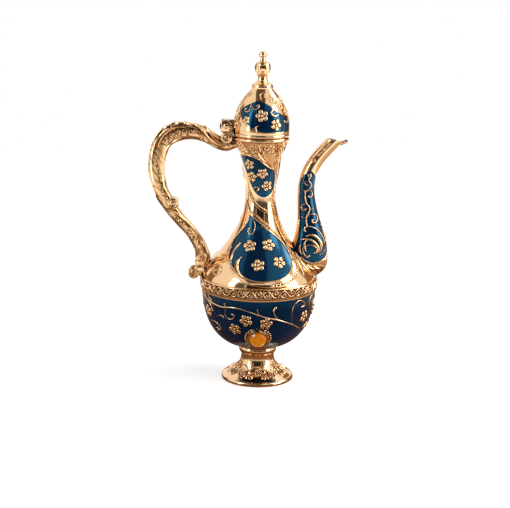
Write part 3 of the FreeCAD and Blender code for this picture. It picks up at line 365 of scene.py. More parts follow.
# %% Chased metal
ZONE_EDGE = 0.4
WAVE_OF_ONE_METRE = 0.314
LINE_WINDING = 9.0
LINE_DETAIL = 1.0
LINE_DETAIL_SCALE = 0.9
CHASED_ROUGHNESS = (0.1, 0.2)


def product(tree, first, second):
    """Two values multiplied."""
    times = tree.nodes.new("ShaderNodeMath")
    times.operation = "MULTIPLY"
    tree.links.new(first, times.inputs[0])
    tree.links.new(second, times.inputs[1])
    return times.outputs[0]


def within(tree, place, low, high):
    """A value that is 1 between two heights in mm, and 0 outside them."""
    parts = tree.nodes.new("ShaderNodeSeparateXYZ")
    tree.links.new(place, parts.inputs[0])
    edges = []
    for edge, below, above in ((low, 0.0, 1.0), (high, 1.0, 0.0)):
        start = (edge - ZONE_EDGE) * MM
        end = (edge + ZONE_EDGE) * MM
        edges.append(value_range(tree, parts.outputs["Z"], below, above, start, end))
    return product(tree, *edges)


def winding_lines(tree, place, period, groove, ground):
    """Winding lines a given period apart in mm, with the brightness of the lines and of the metal between."""
    wave = tree.nodes.new("ShaderNodeTexWave")
    wave.bands_direction = "DIAGONAL"
    wave.inputs["Scale"].default_value = WAVE_OF_ONE_METRE / (period * MM)
    wave.inputs["Distortion"].default_value = LINE_WINDING
    wave.inputs["Detail"].default_value = LINE_DETAIL
    wave.inputs["Detail Scale"].default_value = LINE_DETAIL_SCALE
    tree.links.new(place, wave.inputs["Vector"])
    return ramp(tree, wave.outputs["Fac"], (0.0, [groove] * 3), (0.5, [ground] * 3))


def chased_finish(name, period, low, high, depth, groove, ground):
    """Plating with winding lines a given period and depth in mm, between two heights in mm."""
    finish, tree, shader, place = new_finish(name)
    chasing = tree.nodes.new("ShaderNodeMix")
    chasing.inputs["A"].default_value = 1.0
    tree.links.new(within(tree, place, low, high), chasing.inputs["Factor"])
    tree.links.new(winding_lines(tree, place, period, groove, ground), chasing.inputs["B"])
    # Painted shade in the hollows, darkened further by the chased lines.
    gilt_tint(tree, shader, product(tree, openness(tree, GILT_SHADE_REACH), chasing.outputs["Result"]))
    gilt_wear(tree, shader, place, *CHASED_ROUGHNESS)
    bump(tree, shader, chasing.outputs["Result"], depth * MM)
    return finish


CHASED = {
    "handle": chased_finish("gilt_handle", 3.6, -10, 300, 0.1, 0.56, 0.86),
    "spout": chased_finish("gilt_spout", 2.4, 90, 111, 0.25, 0.4, 0.85),
    "neck_shell": chased_finish("gilt_neck", 2.6, 197, 206, 0.12, 0.35, 1.0),
    # The girdle's metal between the lines is darkened too: painted shade between its raised ornament.
    "girdle_band": chased_finish("gilt_girdle", 2.0, 83.0, 89.8, 0.1, 0.1, 0.34),
}
print("chased pieces:", list(CHASED))

# %% [markdown]
# The enamel is a clear blue glaze over metal. It is deep navy by itself, and wherever it mirrors a lamp
# or a window the light takes on the glaze's teal. A sheet of real glass over a metal ground could show
# this too, but it renders slowly and grainy. A dark base with a strong, teal-tinted gloss behaves in
# the same way. A slow noise makes the glaze thicker here and thinner there, and a clear coat gives its
# wet shine. Beside the raised metal its gloss fades, which paints a shadow line along the wires. The
# bowl gets a darker copy of the glaze without the coat, as painted shade for the dark surroundings it
# mirrors.

# %% Enamel
ENAMEL_DEEP = (0.0012, 0.005, 0.022)
ENAMEL_THIN = (0.002, 0.014, 0.05)
ENAMEL_TINTS = ((0.3, ENAMEL_DEEP), (0.75, ENAMEL_THIN))
ENAMEL_ROUGHNESS = 0.18
ENAMEL_IOR = 1.8
COAT_ROUGHNESS = 0.04
GLAZE_SCALE = 45.0
RIPPLE_SCALE = 160.0
RIPPLE_DEPTH = 0.08 * MM
RIPPLE_STRENGTH = 0.15
SHADOW_LINE_REACH = 1.8 * MM
SHADOW_LINE_DEEPEST = 0.78
SHADOW_LINE_END = 0.97
FULL_GLOSS = 0.5


def enamel_finish(name, sheen, coat):
    """Blue glaze with a tinted gloss, faded beside the raised metal as a painted shadow line, and a clear
    coat.
    """
    finish, tree, shader, place = new_finish(name)
    shader.inputs["Roughness"].default_value = ENAMEL_ROUGHNESS
    shader.inputs["IOR"].default_value = ENAMEL_IOR
    shader.inputs["Specular Tint"].default_value = (*sheen, 1)
    shader.inputs["Coat Weight"].default_value = coat
    shader.inputs["Coat Roughness"].default_value = COAT_ROUGHNESS
    glaze = ramp(tree, noise(tree, place, GLAZE_SCALE), *ENAMEL_TINTS)
    tree.links.new(glaze, shader.inputs["Base Color"])
    bump(tree, shader, noise(tree, place, RIPPLE_SCALE), RIPPLE_DEPTH, RIPPLE_STRENGTH)
    # The gloss fades where the occlusion finds raised metal near: a painted shadow line.
    gloss = value_range(tree, openness(tree, SHADOW_LINE_REACH), 0.0, FULL_GLOSS, SHADOW_LINE_DEEPEST, SHADOW_LINE_END)
    tree.links.new(gloss, shader.inputs["Specular IOR Level"])
    return finish


enamel = enamel_finish("enamel", (0.02, 0.52, 0.92), 0.15)
# A darker glaze with no coat for the bowl: painted shade, for the dark surroundings that it mirrors.
shaded_bowl_glaze = enamel_finish("shaded_bowl_glaze", (0.03, 0.36, 0.72), 0.0)
print("enamel finishes:", enamel.name, shaded_bowl_glaze.name)

# %% [markdown]
# The stones are amber-coloured glass, with a slow change from red to yellow inside them. Fully clear
# glass would show only the dark collet behind it, so about a third of the light goes through, and the
# rest shows the amber itself. The bolt, its washer and the nut are hidden, and are plain bright steel.
# Each solid then gets the finish of its slot, unless it has one of its own.

# %% Stone and steel
AMBER_RED = (0.9, 0.2, 0.005)
AMBER_YELLOW = (1.0, 0.4, 0.02)
AMBER_TINTS = ((0.3, AMBER_RED), (0.7, AMBER_YELLOW))
AMBER_SCALE = 150.0
AMBER_ROUGHNESS = 0.03
AMBER_IOR = 1.55
AMBER_CLEARNESS = 0.35
amber, tree, shader, place = new_finish("amber")
shader.inputs["Roughness"].default_value = AMBER_ROUGHNESS
shader.inputs["IOR"].default_value = AMBER_IOR
shader.inputs["Transmission Weight"].default_value = AMBER_CLEARNESS
tree.links.new(ramp(tree, noise(tree, place, AMBER_SCALE), *AMBER_TINTS), shader.inputs["Base Color"])

STEEL_COLOUR = (0.55, 0.55, 0.56, 1)
STEEL_SCALE = 400.0
STEEL_ROUGHNESS = (0.25, 0.45)
steel, tree, shader, place = new_finish("steel")
shader.inputs["Metallic"].default_value = 1.0
shader.inputs["Base Color"].default_value = STEEL_COLOUR
wear = value_range(tree, noise(tree, place, STEEL_SCALE), *STEEL_ROUGHNESS)
tree.links.new(wear, shader.inputs["Roughness"])
print("stone and steel:", amber.name, steel.name)

# %% Finishes of the solids
OWN_FINISH = {**CHASED, "bowl_enamel": shaded_bowl_glaze}
FINISH_OF_SLOT = {"gilt_metal": gilt, "blue_enamel": enamel, "amber_stone": amber, "fastener_steel": steel}
for part in frame["record"]["subparts"]:
    node = nodes[part["node"]]
    node.data.materials.clear()
    node.data.materials.append(OWN_FINISH.get(part["node"], FINISH_OF_SLOT[part["material_slot"]]))
print("finishes:", {slot: finish.name for slot, finish in FINISH_OF_SLOT.items()})

# %% [markdown]
# ## Laying ornament on a curved skin
# The founder's ornament was carved in the pattern, so it follows every curve of the pot. Here each line
# of it is drawn flat, as an unrolled drawing: on turned pieces by the angle round the pot and the
# height, on the spout and the handle by the two directions of a side view. A Shrinkwrap modifier could
# press a drawing on the pot, but a ray that is cast at each point finds the place on the solid and also
# the way that the metal faces there, and a raised line needs both.

# %% Skins and places
OUTSIDE = 0.2
BESIDE = 0.1
NEAR_SIDE = 3 * MM
HOVER = 4 * MM
DROP = 9 * MM
SAME_WAY = 0.2


def skin(*names):
    """The faces of some solids as one surface that rays can find."""
    points, faces = [], []
    for name in names:
        mesh = nodes[name].data
        first = len(points)
        points += [vertex.co.copy() for vertex in mesh.vertices]
        faces += [[first + index for index in face.vertices] for face in mesh.polygons]
    return BVHTree.FromPolygons(points, faces)


def turned_ground(tree, turn=0.0):
    """Places on a turned piece: degrees from the front and height in mm, all of it turned by an angle."""
    def place(angle, height):
        side = math.radians(angle + turn)
        out = Vector((math.sin(side), -math.cos(side), 0))
        spot, normal, *_ = tree.ray_cast(out * OUTSIDE + Vector((0, 0, height * MM)), -out)
        return spot, normal
    place.tree = tree
    return place


def side_ground(tree, side):
    """Places on one side of the spout or handle, in mm along X and Z: -1 is the front, 1 the back."""
    def place(across, height):
        start = Vector((across * MM, side * BESIDE, height * MM))
        spot, normal, *_ = tree.ray_cast(start, Vector((0, -side, 0)))
        if spot is None:
            spot, normal, *_ = tree.find_nearest(Vector((across * MM, side * NEAR_SIDE, height * MM)))
        return spot, normal
    place.tree = tree
    return place


def settle(tree, point, normal):
    """The place on the skin under a point that may float a little over it."""
    spot, local, *_ = tree.ray_cast(point + normal * HOVER, -normal, DROP)
    if spot is None or local.dot(normal) < SAME_WAY:
        return point, normal
    return spot, local


# %% The skins of this pot
POT_SKIN = skin("foot", "stem_ring", "bowl", "bowl_wall", "bowl_enamel", "girdle_band", "body_shell",
                "body_enamel_front", "body_enamel_back", "neck_shell", "neck_enamel_front",
                "neck_enamel_back", "mouth_ring")
LID_SKIN = skin("lid_rim", "lid_shell", "lid_enamel_front", "lid_enamel_back")
SPOUT_SKIN = skin("spout", "spout_enamel_front", "spout_enamel_back")
HANDLE_SKIN = skin("handle")
POT_SIDES = [turned_ground(POT_SKIN), turned_ground(POT_SKIN, 180)]
LID_SIDES = [turned_ground(LID_SKIN), turned_ground(LID_SKIN, 180)]
SPOUT_SIDES = [side_ground(SPOUT_SKIN, -1), side_ground(SPOUT_SKIN, 1)]
HANDLE_SIDES = [side_ground(HANDLE_SKIN, -1), side_ground(HANDLE_SKIN, 1)]
front_spot, _ = POT_SIDES[0](0, 60)
print("skins: 4, the bowl's front is", round(-front_spot.y / MM, 1), "mm from the axis")

# %% [markdown]
# A raised line has a section, like a moulding: a round wire, a soft rib, or a leaf with two rims and a
# hollow between them. Each section is a row of pairs, the place across the line and the height there. A
# curve with a bevel could carry the section too, but it would leave the skin wherever the pot bends
# across the line. So a grid becomes the line: its long side follows the drawing, its short side takes
# the section, each of its points is settled on the skin, and its edges sink into the metal.

# %% Sections and tapers
WIRE = (
    (-1, -0.4), (-0.88, 0.45), (-0.5, 0.87), (0, 1), (0.5, 0.87), (0.88, 0.45), (1, -0.4),
)
RIB = (
    (-1, -0.15), (-0.75, 0.12), (-0.45, 0.55), (-0.2, 0.9), (0, 1), (0.2, 0.9), (0.45, 0.55),
    (0.75, 0.12), (1, -0.15),
)
LEAF = (
    (-1, -0.4), (-0.9, 0.75), (-0.72, 1), (-0.42, 0.62), (0, 0.4), (0.42, 0.62), (0.72, 1), (0.9, 0.75),
    (1, -0.4),
)
ROUND_END = 0.35
ROUND_SWELL = 12
LEAF_TIP = 0.06
LEAF_FULLNESS = 0.7
STEM_START = 0.5
STEM_SWELL = 8
STEM_THINNING = 0.8
print("points across a wire, a rib and a leaf:", len(WIRE), len(RIB), len(LEAF))


def full(share):
    """A line of one width all along, for rings."""
    return 1.0


def even(share):
    """A line of one width with rounded ends."""
    return min(1.0, ROUND_END + ROUND_SWELL * share, ROUND_END + ROUND_SWELL * (1 - share))


def pointed(share):
    """A leaf that narrows to both of its ends."""
    return max(LEAF_TIP, math.sin(math.pi * share) ** LEAF_FULLNESS)


def tailed(share):
    """A stem that starts full and runs out to a thin end."""
    return min(STEM_START + STEM_SWELL * share, 1.0) * (1 - STEM_THINNING * share)


def growing(share):
    """A stem that starts thin and swells to its end."""
    return tailed(1 - share)


def flowing(points, steps=5):
    """A smooth line through the drawn points; a handle is a sixth of the way between a point's neighbours."""
    knots = [Vector((*point, 0)) for point in points]
    line = []
    for i in range(len(knots) - 1):
        before = knots[max(i - 1, 0)]
        after = knots[min(i + 2, len(knots) - 1)]
        lead = (knots[i + 1] - before) / 6
        follow = (after - knots[i]) / 6
        handles = (knots[i] + lead, knots[i + 1] - follow)
        line += interpolate_bezier(knots[i], *handles, knots[i + 1], steps + 1)[:-1]
    line.append(knots[-1])
    return [(point.x, point.y) for point in line]


# %% Raised lines
SUNK_END = -0.4
THIN_RISE = 0.3


def raised_line(spots, tree, half_width, height, section, taper, closed=False):
    """One raised line over some spots of a skin, each a place and a normal; sizes in mm."""
    count = len(spots)
    bpy.ops.mesh.primitive_grid_add(x_subdivisions=count - 1, y_subdivisions=len(section) - 1, size=1)
    line = bpy.context.object
    for vertex in line.data.vertices:
        along = round((vertex.co.x + 0.5) * (count - 1))
        across, rise = section[round((vertex.co.y + 0.5) * (len(section) - 1))]
        spot, normal = spots[along]
        if closed:
            ahead = spots[(along + 1) % (count - 1)][0] - spots[(along - 1) % (count - 1)][0]
        else:
            ahead = spots[min(along + 1, count - 1)][0] - spots[max(along - 1, 0)][0]
        aside = normal.cross(ahead).normalized()
        share = taper(along / (count - 1))
        ground, _ = settle(tree, spot + aside * across * half_width * share * MM, normal)
        lift = rise * min(1, THIN_RISE + share)
        if not closed and along in (0, count - 1):
            lift = SUNK_END
        vertex.co = ground + normal * lift * height * MM
    return line


def drawn(place, points, half_width, height, section=WIRE, taper=even):
    """A raised line through the points of a drawing."""
    spots = [place(*point) for point in flowing(points)]
    return raised_line(spots, place.tree, half_width, height, section, taper)


# %% Curls
SNAIL_STEPS = 14
SNAIL_TURN = 45
SNAIL_DEPTH = 0.85


def snail(middle, radius, start):
    """A curl that winds inwards from its edge, one and three quarter turns."""
    line = []
    for i in range(SNAIL_STEPS + 1):
        turn = math.radians(start + SNAIL_TURN * i)
        reach = radius * (1 - SNAIL_DEPTH * i / SNAIL_STEPS)
        line.append((middle[0] + reach * math.cos(turn), middle[1] + reach * math.sin(turn)))
    return line


print("points of one curl:", len(snail((0, 0), 1, 0)))

# %% [markdown]
# Beads, small rings and flowers are modelled once at a radius of 1 and set down many times. A flower
# has five petals, each a full round lobe with a dimple, and a bead in its centre. When it is set down,
# every point of it is lowered on the skin, so that a wide flower bends with the slender neck. Beads and
# rings are too small to need that, and are set down whole.

# %% Models of bead and ring
BEAD_FLATNESS = (1, 1, 0.8)

bpy.ops.object.select_all(action="DESELECT")
bpy.ops.mesh.primitive_uv_sphere_add(segments=8, ring_count=5, radius=1)
bead_model = bpy.context.object
bead_model.name = "bead_model"
bpy.ops.transform.resize(value=BEAD_FLATNESS)
bpy.ops.object.transform_apply(scale=True)

bpy.ops.mesh.primitive_torus_add(major_segments=10, minor_segments=5, major_radius=0.72, minor_radius=0.3)
ring_model = bpy.context.object
ring_model.name = "ring_model"
print("faces of bead and ring:", len(bead_model.data.polygons), len(ring_model.data.polygons))

# %% Model of the flower
PETALS = 5
PETAL_START = 0.25
PETAL_PLACE = 0.62
HEART_FLATNESS = (1, 1, 0.7)
PETAL_FLATNESS = (1, 1, 0.95)
DIMPLE_FLATNESS = (1, 1, 0.5)


def squeezed(flatness):
    """The primitive that was just added, made flatter."""
    bpy.ops.transform.resize(value=flatness)
    return bpy.context.object


bpy.ops.mesh.primitive_uv_sphere_add(segments=10, ring_count=6, radius=0.24)
flower_parts = [squeezed(HEART_FLATNESS)]
for i in range(PETALS):
    turn = 2 * math.pi * (i + PETAL_START) / PETALS
    middle = (PETAL_PLACE * math.cos(turn), PETAL_PLACE * math.sin(turn), 0)
    bpy.ops.mesh.primitive_torus_add(major_segments=12, minor_segments=8, major_radius=0.2, minor_radius=0.17,
                                     location=middle)
    flower_parts.append(squeezed(PETAL_FLATNESS))
    bpy.ops.mesh.primitive_uv_sphere_add(segments=8, ring_count=4, radius=0.2, location=middle)
    flower_parts.append(squeezed(DIMPLE_FLATNESS))


def joined(pieces):
    """Some pieces as one, with its place in its mesh."""
    bpy.ops.object.select_all(action="DESELECT")
    for piece in pieces:
        piece.select_set(True)
    bpy.context.view_layer.objects.active = pieces[0]
    bpy.ops.object.join()
    bpy.ops.object.transform_apply(location=True, rotation=True, scale=True)
    return bpy.context.object


flower_model = joined(flower_parts)
flower_model.name = "flower_model"
print("faces of one flower:", len(flower_model.data.polygons))

# %% Setting models down
ROW_STEPS = 12


def copy_of(model):
    """A copy of a model with its own mesh."""
    piece = model.copy()
    piece.data = model.data.copy()
    bpy.context.collection.objects.link(piece)
    return piece


def set_down(model, place, spot, radius, turn=0.0, flatness=1.0):
    """A copy of a model on a spot of a drawing, with every point of it lowered on the skin."""
    middle, normal = place(*spot)
    piece = copy_of(model)
    level = normal.to_track_quat("Z", "Y").to_matrix() @ Matrix.Rotation(turn, 3, "Z")
    for vertex in piece.data.vertices:
        flat = level @ Vector((vertex.co.x, vertex.co.y, 0)) * radius * MM
        ground, local = settle(place.tree, middle + flat, normal)
        vertex.co = ground + local * vertex.co.z * radius * flatness * MM
    return piece


def set_whole(model, place, spot, radius):
    """A copy of a small model on a spot, without bending it."""
    middle, normal = place(*spot)
    piece = copy_of(model)
    level = normal.to_track_quat("Z", "Y").to_matrix().to_4x4()
    piece.data.transform(Matrix.Translation(middle) @ level @ Matrix.Scale(radius * MM, 4))
    return piece


def row_along(model, place, points, pitch, radius):
    """A row of small models along a drawn line, one pitch apart."""
    spots = [(point, place(*point)[0]) for point in flowing(points, ROW_STEPS)]
    row = [set_whole(model, place, spots[0][0], radius)]
    walked = 0.0
    for (_, last), (point, here) in zip(spots, spots[1:]):
        walked += (here - last).length / MM
        if walked >= pitch:
            row.append(set_whole(model, place, point, radius))
            walked -= pitch
    return row


# %% [markdown]
# A few forms stand free of the skin: the round eyes of the scrolls, called volutes, and the squared
# pieces of the hinge. They start as a cylinder or a cube at their size, and a bevel takes the sharpness
# off their edges, as filing and polishing do.

# %% Volutes and blocks
VOLUTE_SIDES = 32
VOLUTE_EDGE = 0.15
VOLUTE_EDGE_STEPS = 3
BLOCK_EDGE_STEPS = 4


def softened(piece, width, segments):
    """Bevels the edges of a piece by a width in mm."""
    bpy.ops.object.modifier_add(type="BEVEL")
    bevel = piece.modifiers[0]
    bevel.width = width * MM
    bevel.segments = segments
    bpy.ops.object.modifier_apply(modifier=bevel.name)
    return piece


def volute(middle, radius, near, far):
    """A round boss across the spout or the handle, between two distances in mm along Y."""
    centre = Vector((middle[0], (near + far) / 2, middle[1])) * MM
    bpy.ops.mesh.primitive_cylinder_add(vertices=VOLUTE_SIDES, radius=radius * MM, depth=(far - near) * MM,
                                        location=centre, rotation=(math.pi / 2, 0, 0))
    bpy.ops.object.transform_apply(location=True, rotation=True, scale=True)
    return softened(bpy.context.object, VOLUTE_EDGE * radius, VOLUTE_EDGE_STEPS)


def block(across, depth, height, edge):
    """A squared block with soft edges, between two limits in mm along X, Y and Z."""
    limits = (across, depth, height)
    bpy.ops.mesh.primitive_cube_add(size=1, location=[sum(pair) / 2 * MM for pair in limits])
    bpy.ops.transform.resize(value=[(high - low) * MM for low, high in limits])
    bpy.ops.object.transform_apply(location=True, rotation=True, scale=True)
    return softened(bpy.context.object, edge, BLOCK_EDGE_STEPS)


# %% Gathering the ornament
MERGE_REACH = 0.001 * MM
SMOOTH_ANGLE = math.radians(55)


def gather(name, pieces, body):
    """Joins the ornament of one place into one gilt piece that moves with a body."""
    whole = joined(pieces)
    whole.name = name
    bpy.ops.object.mode_set(mode="EDIT")
    bpy.ops.mesh.select_all(action="SELECT")
    bpy.ops.mesh.remove_doubles(threshold=MERGE_REACH)
    bpy.ops.object.mode_set(mode="OBJECT")
    bpy.ops.object.shade_smooth_by_angle(angle=SMOOTH_ANGLE)
    whole.data.materials.clear()
    whole.data.materials.append(gilt_raised)
    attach(whole, body)
    print(name, "faces:", len(whole.data.polygons))
    return whole


# %% [markdown]
# ## Cell walls
# Enamel is poured into cells with a thin standing wall of metal round each, which keeps the colours
# apart and is polished bright with the rest. A wall that is drawn by hand would only come near the
# panel's outline. So the script walks along the outer edge of the enamel solid, where its faces turn
# sharply.

# %% The edge of an enamel panel
SHARP_EDGE = math.radians(24)
SHORTEST_EDGE = 20


def sharp_neighbours(mesh):
    """Which corners of a mesh are joined by an edge where two faces meet at a sharp angle."""
    corner = [tuple(round(value, 6) for value in vertex.co) for vertex in mesh.vertices]
    sides = {}
    for face in mesh.polygons:
        for a, b in zip(face.vertices, list(face.vertices[1:]) + [face.vertices[0]]):
            sides.setdefault(tuple(sorted((corner[a], corner[b]))), []).append(face.normal)
    next_to = {}
    for (a, b), normals in sides.items():
        if a != b and len(normals) == 2 and normals[0].angle(normals[1], 0) > SHARP_EDGE:
            next_to.setdefault(a, []).append(b)
            next_to.setdefault(b, []).append(a)
    return next_to


def outline_of(name, outward):
    """The outer edge of an enamel panel as a closed row of points."""
    next_to = sharp_neighbours(nodes[name].data)
    loops = []
    left = set(next_to)
    while left:
        walk = [left.pop()]
        while True:
            steps = [point for point in next_to[walk[-1]] if point in left]
            if not steps:
                break
            walk.append(steps[0])
            left.discard(steps[0])
        loops.append([Vector(point) for point in walk])
    loops = [loop for loop in loops if len(loop) > SHORTEST_EDGE]
    return max(loops, key=lambda loop: sum(point.dot(outward(point)) for point in loop) / len(loop))


def evenly(points, pitch):
    """A closed row of points walked at an even pitch."""
    row = [points[0]]
    for point in points[1:]:
        while (point - row[-1]).length > pitch * MM:
            row.append(row[-1] + (point - row[-1]).normalized() * pitch * MM)
    return row + [row[0]]


# %% Standing walls round the enamel
RIM_WIDTH = 0.5
RIM_RISE = 0.5
RIM_PITCH = 0.8
RIM_HOVER = 5 * MM


def from_axis(point):
    """The way out of a turned piece at a point."""
    return Vector((point.x, point.y, 0)).normalized()


def to_front(point):
    """The way out of the spout's front side."""
    return Vector((0, -1, 0))


def to_back(point):
    """The way out of the spout's back side."""
    return Vector((0, 1, 0))


def cell_wall(name, tree, outward):
    """The standing wall round one enamel panel."""
    spots = []
    for point in evenly(outline_of(name, outward), RIM_PITCH):
        spot, normal, *_ = tree.ray_cast(point + outward(point) * RIM_HOVER, -outward(point))
        spots.append((spot, normal))
    return raised_line(spots, tree, RIM_WIDTH, RIM_RISE, WIRE, full, closed=True)


TURNED_PANELS = ("body_enamel_front", "body_enamel_back", "neck_enamel_front", "neck_enamel_back")
walls = [cell_wall(name, POT_SKIN, from_axis) for name in TURNED_PANELS]
walls.append(cell_wall("spout_enamel_front", SPOUT_SKIN, to_front))
walls.append(cell_wall("spout_enamel_back", SPOUT_SKIN, to_back))
gather("pot_cell_walls", walls, "pot")
lid_walls = [cell_wall(name, LID_SKIN, from_axis) for name in ("lid_enamel_front", "lid_enamel_back")]
gather("lid_cell_walls", lid_walls, "lid")

# %% [markdown]
# ## Shoulder
# The teardrop panel on the bell carries four flowers and a few crescents that grow from its left edge.
# Its right edge is a broad polished ridge that comes down the neck, and outside that runs a lace of
# small rings between the ridge and a second one. Each line of the table has its points, half of its
# width and its height in mm, its section and its taper. Both sides of the pot have the same drawing,
# half a turn apart.

# %% Shoulder lines
SHOULDER_LINES = (
    ([(-38.5, 122.7), (-42.6, 119.2), (-43.8, 115), (-42.6, 110.7), (-39.1, 107.4), (-33.5, 103.6),
      (-27.7, 100.8)], 0.9, 0.8, WIRE, even),
    ([(-26.5, 113.8), (-29.9, 110.6), (-29.6, 107), (-26, 103.4), (-20.4, 100.2), (-13.4, 98.2)],
     1.9, 0.9, LEAF, pointed),
    ([(-25.6, 144.8), (-17.8, 141.3), (-13, 137.5), (-13.5, 133.6), (-17.4, 130.7), (-24.5, 130.7),
      (-29.4, 132.8), (-28.3, 134.8), (-23.7, 134.7)], 0.65, 0.65, WIRE, growing),
    ([(-35.1, 147.5), (-36, 143.4), (-39, 139.6), (-45.8, 136)], 0.7, 0.6, WIRE, pointed),
    ([(-60, 158), (-47, 152.5), (-33.4, 148.4), (-6.4, 144.1), (15.3, 138.2), (34.8, 132), (47, 126.2),
      (53.3, 120.1), (53.4, 114.3), (48, 107.9), (40.6, 102.5), (33.3, 98.9), (24.3, 96.5), (15.1, 95.6)],
     1.25, 1.0, RIB, tailed),
    ([(64, 128), (60.5, 124), (59, 120.2), (59.9, 113), (54.8, 105.9), (45, 99.6), (34.5, 95.1),
      (24.3, 93.1), (14.7, 92.3), (4, 92.5), (-5.9, 93.6), (-14.5, 95.4), (-24, 98.5)],
     0.8, 0.7, RIB, pointed),
    ([(-34.2, 149.6), (-12.2, 146.1), (11.1, 140.9), (32.6, 134.9), (46.9, 129.5), (51.5, 127.3)],
     0.5, 0.45, WIRE, pointed),
    ([(47.4, 147.5), (48.3, 142.7), (47.4, 136.7), (47.4, 129.5)], 0.6, 0.45, RIB, pointed),
    ([(77.2, 144.1), (70.2, 136.2), (72.4, 127.8), (78.3, 121.8)], 0.7, 0.5, RIB, pointed),
    ([(-82.7, 97.5), (-79.9, 103.4), (-70.5, 107.8), (-58.4, 110.2), (-48.5, 109.5), (-41, 106.6)],
     0.6, 0.5, WIRE, pointed),
    ([(-80, 98.8), (-73.5, 101.4), (-65.7, 103.7), (-56.8, 104.5), (-49.9, 103.5), (-47.2, 100.5),
      (-50, 97.7), (-55.3, 97.4), (-59, 98.7), (-57.7, 100.5), (-53.6, 100.6)], 0.9, 0.85, WIRE, growing),
    ([(69.4, 114.6), (66.6, 111), (64.6, 106), (67.1, 101.1), (72, 96.2)], 1.2, 0.8, LEAF, pointed),
    ([(62.3, 111.5), (58.1, 106.2), (56, 100.7), (55.8, 96.9)], 1.2, 0.8, LEAF, pointed),
    ([(70.1, 110.6), (72.7, 104.9), (74.8, 100.6), (78.3, 97.3)], 1.2, 0.8, LEAF, pointed),
)
SHOULDER_LACE = ((57.2, 116.8), (57.1, 111.8), (53.9, 106.4), (46.9, 101.6), (38.0, 97.2), (29.0, 94.8),
                 (20.6, 93.7), (13.8, 93.5))
LACE_PITCH = 2.9
LACE_RADIUS = 1.5
SHOULDER_FLOWERS = (((-18, 121.9), 0.3), ((16.3, 122.8), 0.9), ((-1.6, 108.3), 1.5), ((27.2, 109.8), 0.6))
FLOWER_RADIUS = 5.7
SHOULDER_KNOB = ((-38.5, 122.7), 1.1)
print("shoulder lines on each side:", len(SHOULDER_LINES))

# %% Shoulder
shoulder = []
for place in POT_SIDES:
    shoulder += [drawn(place, *line) for line in SHOULDER_LINES]
    shoulder += row_along(ring_model, place, SHOULDER_LACE, LACE_PITCH, LACE_RADIUS)
    shoulder += [set_down(flower_model, place, spot, FLOWER_RADIUS, turn) for spot, turn in SHOULDER_FLOWERS]
    shoulder.append(set_whole(bead_model, place, *SHOULDER_KNOB))
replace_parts(gather("shoulder_ornament", shoulder, "pot"), "shoulder_relief_front", "shoulder_relief_back")

# %% [markdown]
# ## Neck
# Ribs wind up the slender neck like the strands of a rope and frame the leaf-shaped panel. Below the
# lid, the ribs end in long leaves, and a band of small flowers and swirls runs round the collar. One
# step of that band is drawn, and it goes round nine times.

# %% Neck lines
NECK_LINES = (
    ([(-66, 202.5), (-59.3, 201.5), (-35.2, 198.9), (-17, 195.5), (1.6, 191.1), (20.4, 187),
      (42.5, 184.2)], 0.7, 0.6, RIB, even),
    ([(-8.1, 203.2), (-4.7, 198), (7.7, 192.7), (34.3, 185.2)], 0.75, 0.6, LEAF, pointed),
    ([(0.7, 202.6), (7, 196.7), (18.9, 191.4), (38.5, 185.4)], 0.65, 0.6, RIB, pointed),
    ([(57.3, 199.3), (45.4, 196.1), (41, 191.6), (42.9, 185)], 0.7, 0.6, LEAF, pointed),
    ([(63.3, 201.3), (59.7, 192.9), (60.4, 184.4), (67.5, 175), (69.5, 167.1), (59, 162.2)],
     0.6, 0.5, RIB, pointed),
    ([(-125, 200), (-100, 186), (-70, 173.5), (-42.5, 166.3), (-27.2, 160.9), (-9.2, 157.3),
      (7.5, 157.3)], 0.6, 0.5, RIB, pointed),
    ([(-120, 192), (-95, 180), (-66, 170), (-37.2, 163.2), (-23.7, 157.7), (-3.1, 152.9), (21.1, 149.7),
      (47.9, 146.9), (80, 142), (110, 139)], 0.8, 0.6, RIB, pointed),
    ([(-110, 180), (-80, 172), (-48.4, 166.8), (-37.1, 160), (-17.1, 154), (7.6, 149.2), (40.3, 146.2)],
     0.6, 0.45, RIB, pointed),
    ([(-21.1, 161.7), (-26.4, 164.8), (-24.8, 167.8), (-16.8, 169.3), (-7.7, 168.2), (-9.2, 166.3),
      (-15.4, 166.3)], 0.85, 0.75, WIRE, growing),
)
NECK_FLOWERS = (((-36.2, 188.1), 0.2), ((5, 180.9), 0.7), ((-31.7, 177.7), 1.1), ((23.1, 170.3), 0.4))
NECK_BUDS = ((39, 159), (46, 153), (57, 164))
NECK_FLOWER_RADIUS = 4.8
BUD_RADIUS = 2.9
COLLAR_STEP = 40
COLLAR_FLOWER = ((-18, 201.2), 4.3, 0.3)
COLLAR_LINES = (
    ([(-33, 198), (-38, 200.5), (-37.5, 204), (-33, 205.2), (-30.5, 203), (-33.5, 201.6)],
     0.6, 0.7, WIRE, growing),
    ([(-6, 207), (-3.5, 204.6), (-1.5, 201.4), (0.5, 198.4)], 1.1, 0.75, LEAF, pointed),
)
print("neck lines on each side:", len(NECK_LINES))

# %% Neck
neck = []
for place in POT_SIDES:
    neck += [drawn(place, *line) for line in NECK_LINES]
    neck += [set_down(flower_model, place, spot, NECK_FLOWER_RADIUS, turn) for spot, turn in NECK_FLOWERS]
    neck += [set_down(flower_model, place, spot, BUD_RADIUS) for spot in NECK_BUDS]
for turn in range(0, 360, COLLAR_STEP):
    place = turned_ground(POT_SKIN, turn)
    neck.append(set_down(flower_model, place, *COLLAR_FLOWER))
    neck += [drawn(place, *line) for line in COLLAR_LINES]
gather("neck_ornament", neck, "pot")

# %% [markdown]
# ## Girdle
# The band round the widest part has a wavy stem between its two edges, and a curl with a bead in every
# bend of the stem. One wave is drawn, and it goes round the pot twenty-two times over the chased
# ground.

